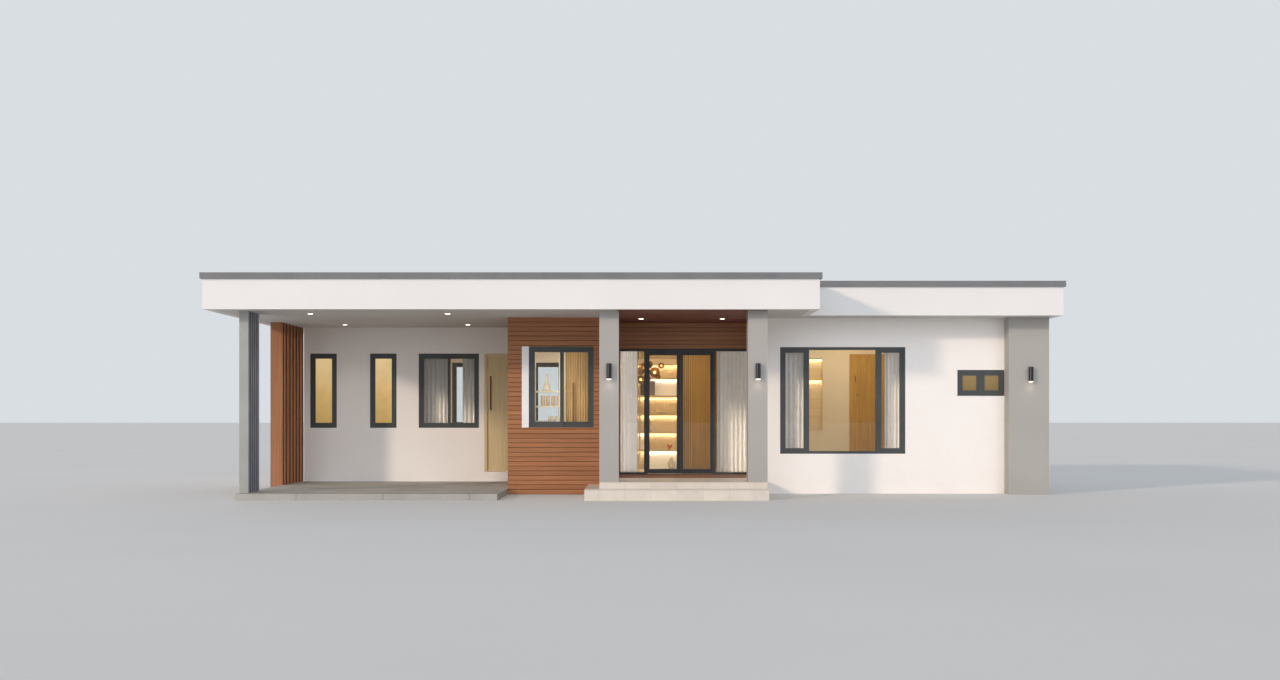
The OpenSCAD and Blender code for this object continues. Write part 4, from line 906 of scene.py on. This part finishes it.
# Display shelves: a line of light under each board, which a lip hides, over fluted backs
SHELF_ZS = [700 + SHELF_PITCH * 1000 * i for i in range(7)]
SHELF_T = 30
SHELF_FRONT_Y = 6700
SHELF_BACK_Y = 6985
LIP_Y = 6906
STRIP_Y = 6915
PALE_BACK_Y = SHELF_BACK_Y - 11
SHELF_BAYS = [(6100, 6945), (6975, 7820)]
PELMET_Z = 2600
FLUTE_PITCH = 0.030
FLUTE = [(0, 0.003), (0.008, 0.006), (0.010, 0.015), (0.008, 0.024), (0, 0.027)]
shelf_tops = [z + SHELF_T for z in SHELF_ZS]
strips, lips, flutes, pelmet = [], [], [], []
for x0, x1 in SHELF_BAYS:
    for z, count in ((SHELF_ZS[0], 5), (PELMET_Z, 1)):
        strip = blocks((x0 + 8, x1 - 8, STRIP_Y, STRIP_Y + 18, z - 13, z - 3, 2))
        lip = blocks((x0, x1, LIP_Y, LIP_Y + 4, z - 18, z, 1))
        strips.append(in_row(strip, count, (0, 0, SHELF_PITCH), "led"))
        lips.append(in_row(lip, count, (0, 0, SHELF_PITCH), "shelf"))
    flute = length_of(FLUTE, at(x0 + 2, SHELF_BACK_Y, shelf_tops[0]), (0, 0, SHELF_PITCH - 0.031),
                      OUT_FRONT, RIGHT)
    one_bay = in_row(flute, 28, (FLUTE_PITCH, 0, 0), "shelf")
    flutes.append(in_row(one_bay, 6, (0, 0, SHELF_PITCH), "shelf"))
    # Front board and closing board that hang under the highest shelf that shows
    pelmet += [(x0, x1, SHELF_FRONT_Y + 2, SHELF_FRONT_Y + 16, PELMET_Z, SHELF_ZS[5], 2),
               (x0, x1, SHELF_FRONT_Y + 16, PALE_BACK_Y, PELMET_Z, PELMET_Z + 12, 0)]
settled("shelf_light_strips", joined(*strips), "led")
settled("shelf_lips", joined(*lips), "shelf")
settled("shelf_flutes", joined(*flutes), "shelf")
settled("shelf_pelmet", blocks(*pelmet), "shelf")

# Smooth boards before the flutes in some of the fields
smooth_fields = ((7120, 7820, shelf_tops[3], SHELF_ZS[4]), (7120, 7820, FLOOR_Z, SHELF_ZS[0]),
                 (6975, 7120, shelf_tops[0], SHELF_ZS[1]), (6100, 6945, shelf_tops[0], SHELF_ZS[1]))
settled("shelf_pale_backs", blocks(*((x0, x1, PALE_BACK_Y - 6, PALE_BACK_Y, z0, z1, 0)
                                     for x0, x1, z0, z1 in smooth_fields)), "pale_board")

# Storage boxes with overhanging lids, on the right bay's fourth shelf
for name, x0, x1, height, finish, slot in (
        ("shelf_box_brown", 6990, 7118, 300, "brown_board", "inner_timber"),
        ("shelf_box_grey", 7130, 7300, 316, "grey_board", "inner_paint")):
    foot, top = shelf_tops[3], shelf_tops[3] + height
    settled(name, blocks((x0 + 3, x1 - 3, 6743, 6947, foot, top - 60, 2),
                         (x0, x1, 6740, 6950, top - 60, top, 3)), finish)

VASE = [(0, 0), (0.045, 0), (0.075, 0.05), (0.085, 0.11), (0.06, 0.18), (0.028, 0.215), (0.032, 0.25),
        (0.024, 0.25), (0.02, 0.215), (0, 0.2)]
BOWL = [(0, 0), (0.05, 0), (0.055, 0.012), (0.11, 0.06), (0.135, 0.1), (0.128, 0.1), (0.1, 0.062),
        (0.045, 0.02), (0, 0.016)]
DISH = [(0, 0), (0.05, 0), (0.055, 0.008), (0.115, 0.032), (0.12, 0.045), (0.113, 0.045), (0.1, 0.034),
        (0.045, 0.016), (0, 0.014)]
JAR = [(0, 0), (0.04, 0), (0.046, 0.006), (0.046, 0.1), (0.04, 0.108), (0.04, 0.122), (0.034, 0.128),
       (0.012, 0.13), (0.012, 0.142), (0, 0.144)]
CANISTER = [(0, 0), (0.036, 0), (0.038, 0.004), (0.038, 0.165), (0.036, 0.168), (0.036, 0.171),
            (0.039, 0.173), (0.039, 0.188), (0.037, 0.191), (0, 0.192)]
CARAFE = [(0, 0), (0.07, 0), (0.077, 0.008), (0.072, 0.04), (0.054, 0.1), (0.034, 0.16), (0.023, 0.21),
          (0.022, 0.285), (0.027, 0.32), (0.024, 0.32), (0.018, 0.285), (0, 0.26)]
TUMBLER = [(0, 0), (0.03, 0), (0.034, 0.006), (0.038, 0.085), (0.034, 0.085), (0.03, 0.012), (0, 0.01)]
settled("shelf_pots", turned([(BOWL, 6350, 6830, shelf_tops[1]), (VASE, 6720, 6840, shelf_tops[2]),
                              (JAR, 7240, 6830, shelf_tops[1]), (DISH, 7467, 6830, shelf_tops[2]),
                              (VASE, 7663, 6830, FLOOR_Z)]), "cream")


def branching_ornament(bm):
    """Ornament like a piece of coral: short branches that fan out from one foot."""
    foot = at(7614, 6830, shelf_tops[0])
    add_turned(bm, foot, [(0, 0), (0.03, 0), (0.026, 0.02), (0, 0.03)], 16)
    for i in range(14):
        turn = 2.4 * i
        reach = 0.03 + 0.045 * (i % 3) / 2
        tip = foot + Vector((reach * math.cos(turn), reach * math.sin(turn), 0.07 + 0.012 * (i % 5)))
        add_rod(bm, foot + Vector((0, 0, 0.015)), tip, 0.0075, 7)


settled("shelf_ornament", mesh_of(branching_ornament), "amber")

# Pendant in the lounge: a cluster of smoked globes on brass arms round a stiff stem
PENDANT = at(7150, 5600, 2400)
# Place of each globe from the hub and its radius, the lit ones first
LIT_GLOBES = [((0.13, -0.05, -0.01), 0.11), ((0.272, 0.02, 0.135), 0.062), ((-0.165, -0.03, -0.165), 0.088)]
DARK_GLOBES = [((-0.17, 0.05, 0.02), 0.085), ((0.02, 0.12, 0.15), 0.075), ((0.03, -0.06, 0.165), 0.06),
               ((-0.02, 0.06, -0.15), 0.07), ((0.2, 0.1, -0.1), 0.06), ((-0.12, -0.08, 0.14), 0.055)]
globes = [(PENDANT + Vector(place), radius) for place, radius in LIT_GLOBES + DARK_GLOBES]


def pendant_metal(bm):
    """Ceiling rose, stem, hub, arms and the cups that hold the globes."""
    top = SOFFIT_Z / 1000 - PENDANT.z
    add_turned(bm, PENDANT, [(0, top - 0.03), (0.05, top - 0.026), (0.055, top - 0.004), (0.05, top),
                             (0, top)], 28)
    add_rod(bm, PENDANT, PENDANT + Vector((0, 0, top - 0.02)), 0.006, 12)
    add_turned(bm, PENDANT, [(0, -0.02), (0.016, -0.014), (0.02, 0.0), (0.016, 0.02), (0, 0.026)], 20)
    for globe, radius in globes:
        cup = globe + (PENDANT - globe).normalized() * radius
        add_rod(bm, PENDANT, cup, 0.003)
        add_turned(bm, cup, [(0, -0.012), (0.016, -0.010), (0.019, 0.0), (0.016, 0.010), (0, 0.012)], 14)


def add_balls(bm, places, share):
    """Balls at the places of some globes, their radius a share of the globe's."""
    for globe, radius in places:
        arc = [(radius * share * math.sin(math.pi * i / 16), -radius * share * math.cos(math.pi * i / 16))
               for i in range(17)]
        add_turned(bm, globe, arc, 28)


settled("pendant_frame", mesh_of(pendant_metal), "brass")
blown = settled("pendant_globes", mesh_of(lambda bm: add_balls(bm, globes, 1), True), "smoked")
wall = blown.modifiers.new("glass_thickness", "SOLIDIFY")
wall.thickness = 0.003
lit = globes[:len(LIT_GLOBES)]
settled("pendant_bulbs", mesh_of(lambda bm: add_balls(bm, lit, 0.28), True), "bulb")

# Pale upright battens on the panel beside the shelves
batten = blocks((7880, 7900, LOUNGE_WALL_Y - 43, LOUNGE_WALL_Y - 25, FLOOR_Z + 4, SOFFIT_Z - 6, 3))
settled("panel_battens", in_row(batten, 6, (0.044, 0, 0), "slat"), "slat")

# Soft seal in the gap between the two entrance leaves, on the left one's edge
low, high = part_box("entry_leaf_left")
gap_x0 = at(7754.5, 0, 0).x
gasket = mesh_of(lambda bm: add_block(bm, (gap_x0, high.y - 0.016 - 0.014, low.z + 0.004),
                                      (gap_x0 + 0.0095, high.y - 0.016 - 0.002, high.z - 0.004), 0.001))
seal = settled("leaf_seal", gasket, "seal")
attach(seal, "entry_leaf_left")

# Kitchen, as it shows through its window: a rack with jars, and a tall cabinet with a fluted front,
# a pale end panel and a short shelf board on it
RACK_X0, RACK_X1 = 4975, 5450
RACK_Y0, RACK_Y1 = 2420, 2560
RACK_ZS = (1366, 1648, 1931)
RACK_POST = 32
CABINET_X0, CABINET_X1 = 5560, 6370
CABINET_Y0, CABINET_Y1 = 2570, 3100
CABINET_TOP = 2900
rack_tops = [z + 8 for z in RACK_ZS]
rack = [(RACK_X0, RACK_X1, RACK_Y0, RACK_Y1, z - 24, z + 8, 3) for z in RACK_ZS]
rack += [(x, x + RACK_POST, y, y + RACK_POST, FLOOR_Z, 2750, 3)
         for x in (RACK_X0 - 16, RACK_X1 - 16) for y in (RACK_Y0, RACK_Y1 - RACK_POST)]
end_panel = (CABINET_X0 - 34, CABINET_X0, 2524, CABINET_Y1, FLOOR_Z, CABINET_TOP, 3)
carcass = (CABINET_X0, CABINET_X1, CABINET_Y0, CABINET_Y1, FLOOR_Z, CABINET_TOP, 3)
short_board = (CABINET_X0, 5685, 2500, 2546, RACK_ZS[2] - 24, rack_tops[2], 3)
RIB = [(0.013 * math.sin(math.pi * i / 8), 0.024 - 0.0225 * math.cos(math.pi * i / 8)) for i in range(9)]
rib = length_of(RIB, at(CABINET_X0, CABINET_Y0, FLOOR_Z + 20), (0, 0, 2.56), OUT_FRONT, RIGHT)
ribs = in_row(rib, 16, (0.048, 0, 0), "honey")
canisters = [(CANISTER, x, y, rack_tops[1])
             for x, y in ((5128, 2490), (5224, 2480), (5326, 2488), (5425, 2495))]
tumblers = [(TUMBLER, x, 2480, rack_tops[0]) for x in (5260, 5345, 5425)]
settled("kitchen_rack", blocks(*rack, end_panel), "pale_rack")
settled("kitchen_cabinet", joined(blocks(carcass, short_board), ribs), "honey")
settled("cabinet_pull", blocks((5690, 5714, 2510, 2534, 1200, 2097, 4)), "brown_board")
settled("kitchen_canisters", turned(canisters), "blush")
settled("kitchen_carafe", turned([(CARAFE, 5200, 2488, rack_tops[2])]), "cream")
settled("kitchen_tumblers", turned(tumblers), "cream")

# Frame of the bedroom's panel, and its two small pulls
PANEL_X0, PANEL_X1 = 11360, 12100
PANEL_FOOT, PANEL_TOP = FLOOR_Z + 2, 2760
PANEL_FACE_Y = BEDROOM_WALL_Y - 25
RAIL_W = 62
RAIL_Y = PANEL_FACE_Y - 9
PULL_Y = PANEL_FACE_Y - 24
stiles = [(x, x + RAIL_W, RAIL_Y, PANEL_FACE_Y, PANEL_FOOT, PANEL_TOP, 3)
          for x in (PANEL_X0, PANEL_X1 - RAIL_W)]
rails = [(PANEL_X0 + RAIL_W, PANEL_X1 - RAIL_W, RAIL_Y, PANEL_FACE_Y, z, z + RAIL_W, 3)
         for z in (PANEL_FOOT, PANEL_TOP - RAIL_W)]
settled("bedroom_panel_frame", blocks(*stiles, *rails), "panel")
settled("bedroom_panel_pulls", blocks((11468, 11484, PULL_Y, PANEL_FACE_Y, 2180, 2300, 4),
                                      (11500, 11530, PULL_Y, PANEL_FACE_Y, 1900, 1924, 4)),
        "bronze")

# Bedroom niche: thin boards on its four sides and back, one shelf, and a line of light behind a lip
# at its head and under the shelf
NICHE_X0, NICHE_X1 = 10370, 10800
NICHE_Z0, NICHE_Z1 = 1160, 2680
NICHE_SHELF_Z = 2220
NICHE_FRONT_Y = BEDROOM_WALL_Y - 6
NICHE_REAR_Y = BEDROOM_WALL_Y + 70
NICHE_BACK_Y = NICHE_REAR_Y - 8
NICHE_BOARD = 12
NICHE_PLAY = 0.5
inner_x0, inner_x1 = NICHE_X0 + NICHE_BOARD + NICHE_PLAY, NICHE_X1 - NICHE_BOARD - NICHE_PLAY
head_z = NICHE_Z1 - NICHE_BOARD - NICHE_PLAY
lining = [(NICHE_X0, NICHE_X1, NICHE_BACK_Y, NICHE_REAR_Y - NICHE_PLAY, NICHE_Z0, NICHE_Z1, 0)]
lining += [(x, x + NICHE_BOARD, NICHE_FRONT_Y, NICHE_BACK_Y, NICHE_Z0 + NICHE_PLAY,
            NICHE_Z1 - NICHE_PLAY, 1.5) for x in (NICHE_X0 + NICHE_PLAY, inner_x1)]
lining += [(inner_x0, inner_x1, NICHE_FRONT_Y, NICHE_BACK_Y, z, z + NICHE_BOARD, 1.5)
           for z in (NICHE_Z0 + NICHE_PLAY, NICHE_SHELF_Z, head_z)]
lit_edges = (NICHE_SHELF_Z, head_z)
settled("niche_lips", blocks(*((inner_x0, inner_x1, BEDROOM_WALL_Y + 6, BEDROOM_WALL_Y + 9, z - 13, z, 1)
                               for z in lit_edges)), "shelf")
settled("niche_lining", blocks(*lining), "shelf")
settled("niche_light_strips", blocks(*((NICHE_X0 + 20, NICHE_X1 - 20, BEDROOM_WALL_Y + 14,
                                        BEDROOM_WALL_Y + 30, z - 10, z - 1, 2) for z in lit_edges)),
        "led")

# Floor under the house, and a pale surround that only camera, gloss and glass see
floor = bpy.data.objects.new("studio_floor", mesh_of(
    lambda bm: add_block(bm, (-400, -400, -1.0), (400, 400, 0.0))))
scene.collection.objects.link(floor)
pale, node = blank("pale_studio_floor")
floor.data.materials.append(coated(pale, node, Base_Color=mottled(node, "#DDDCDA", "#DAD9D7", 4000),
                                   Roughness=0.95, IOR=1.4))

world = bpy.data.worlds.new("soft_studio")
scene.world = world
world.use_nodes = True
world.node_tree.nodes.clear()
node = functools.partial(add_node, world.node_tree)
path = node("LightPath", out=None).outputs
seen = node("Math", [path["Is Glossy Ray"], path["Is Transmission Ray"]], operation="MAXIMUM")
seen = node("Math", [path["Is Camera Ray"], seen], operation="MAXIMUM")
sky = node("Background", {"Color": "#E8F1FB", "Strength": 0.53})
# The studio behind the camera is dim, so that the panes facing it stay clear
front = axes_of(node, output="Generated")[1]
front = node("MapRange", [front, -0.1, 0.1, 1.0, 0.0])
dim = node("Math", [path["Is Glossy Ray"], front], operation="MULTIPLY")
tone = node("Mix", {0: dim, 6: "#D9DEE3", 7: "#84888C"}, **OF_COLOURS)
backdrop = node("Background", {"Color": tone, "Strength": 1.0})
shown = node("MixShader", [seen, sky, backdrop])
node("OutputWorld", {"Surface": shown}, out=None)


def add_lamp(name, kind, place, aim, energy, tone, mirrored=True, **settings):
    """Lamp at a place that points at another place. One that isn't mirrored stays out of glass."""
    light = bpy.data.lights.new(name, kind)
    light.energy = energy
    light.color = linear(tone)[:3]
    for key, value in settings.items():
        setattr(light, key, value)
    lamp = bpy.data.objects.new(name, light)
    lamp.visible_glossy = lamp.visible_transmission = mirrored
    lamp.location = place
    lamp.rotation_euler = (Vector(aim) - Vector(place)).to_track_quat("-Z", "Y").to_euler()
    scene.collection.objects.link(lamp)


# Low soft key from the left in front, at the angle that the shadows on the wing's wall give
KEY_TURN, KEY_RISE = math.radians(48), math.radians(17.5)
key_way = Vector((-math.sin(KEY_TURN) * math.cos(KEY_RISE), -math.cos(KEY_TURN) * math.cos(KEY_RISE),
                  math.sin(KEY_RISE)))
add_lamp("key", "SUN", key_way * 40, (0, 0, 0), 1.4, "#FFE8D2", angle=math.radians(5))
# Wide even fill before the house; the one behind it comes after the small fills
WIDE = math.radians(60)
add_lamp("front_fill", "SUN", (4, -40, 10.5), (0, 0, 0.5), 1.38, "#F0F6FF", False, angle=WIDE)

# Even light on the street side of what hangs or stands close behind the panes, from 60 mm before
# each track. A fill's level is in watts a square metre.
fills = []
for name, level in (("entry_curtain_left", 1.6), ("entry_curtain_right", 0.7),
                    ("bedroom_curtain_left", 0.35), ("bedroom_curtain_right", 0.7)):
    x0, x1, track_y, foot = curtain_places[name][:4]
    fills.append((name, x0, x1, track_y - 60, foot, CLOTH_TOP, level))
fills.append(("kitchen", 5000, 5900, 2300, 1400, 2700, 2.9))
for name, x0, x1, y, z0, z1, level in fills:
    middle = at((x0 + x1) / 2, y, (z0 + z1) / 2)
    wide, tall = (x1 - x0) / 1000, (z1 - z0) / 1000
    add_lamp(f"{name}_fill", "AREA", middle, middle + Vector(REARWARDS), level * wide * tall, "#FFF7EE",
             False, shape="RECTANGLE", size=wide, size_y=tall)
add_lamp("rear_fill", "SUN", (-10, 40, 10), (0, 0, 1), 0.9, "#FBFBFF", False, angle=WIDE)

# Room lights under the ceiling: their places, sizes in metres and watts
rooms = {"lounge_light": (7900, 5400, 1.8, 33), "kitchen_light": (5500, 3400, 0.8, 24),
         "rear_room_light": (5000, 8600, 1.2, 17), "bedroom_light": (11200, 3900, 1.8, 42),
         "guest_room_light": (3000, 6700, 1.8, 45)}
for name, (x, y, size, energy) in rooms.items():
    spot = at(x, y, SOFFIT_Z - 40)
    add_lamp(name, "AREA", spot, spot + Vector(DOWN), energy, "#FFE8C8", False, shape="SQUARE", size=size)

# Pools of light under the downlights and the wall lights
for title, places, z, energy, tone, degrees, blend in (
        ("downlight_beam", downlight_places, SOFFIT_Z - 25, 22, "#FFEFDA", 115, 0.9),
        ("wall_light_beam", wall_light_places, WALL_LIGHT_FOOT - 30, 0.5, "#FFEBCF", 120, 0.8)):
    for i, (x, y) in enumerate(places):
        spot = at(x, y, z)
        add_lamp(f"{title}_{i}", "SPOT", spot, spot + Vector(DOWN), energy, tone,
                 spot_size=math.radians(degrees), spot_blend=blend, shadow_soft_size=0.04)

# Camera at the photograph's place: eye height 1.424 m, 24.5 m in front of the main fascia. The horizon
# is 78 pixels under the middle of a picture that is 1280 pixels wide.
camera_data = bpy.data.cameras.new("street_camera")
camera_data.sensor_width = 36.0
camera_data.lens = 40.0
camera_data.shift_y = 78 / 1280
camera_data.clip_end = 2000
camera = bpy.data.objects.new("street_camera", camera_data)
camera.location = (-0.100, -29.65, 1.424)
camera.rotation_euler = (math.radians(90), 0, 0)
scene.collection.objects.link(camera)
scene.camera = camera
scene.view_settings.view_transform = "Standard"
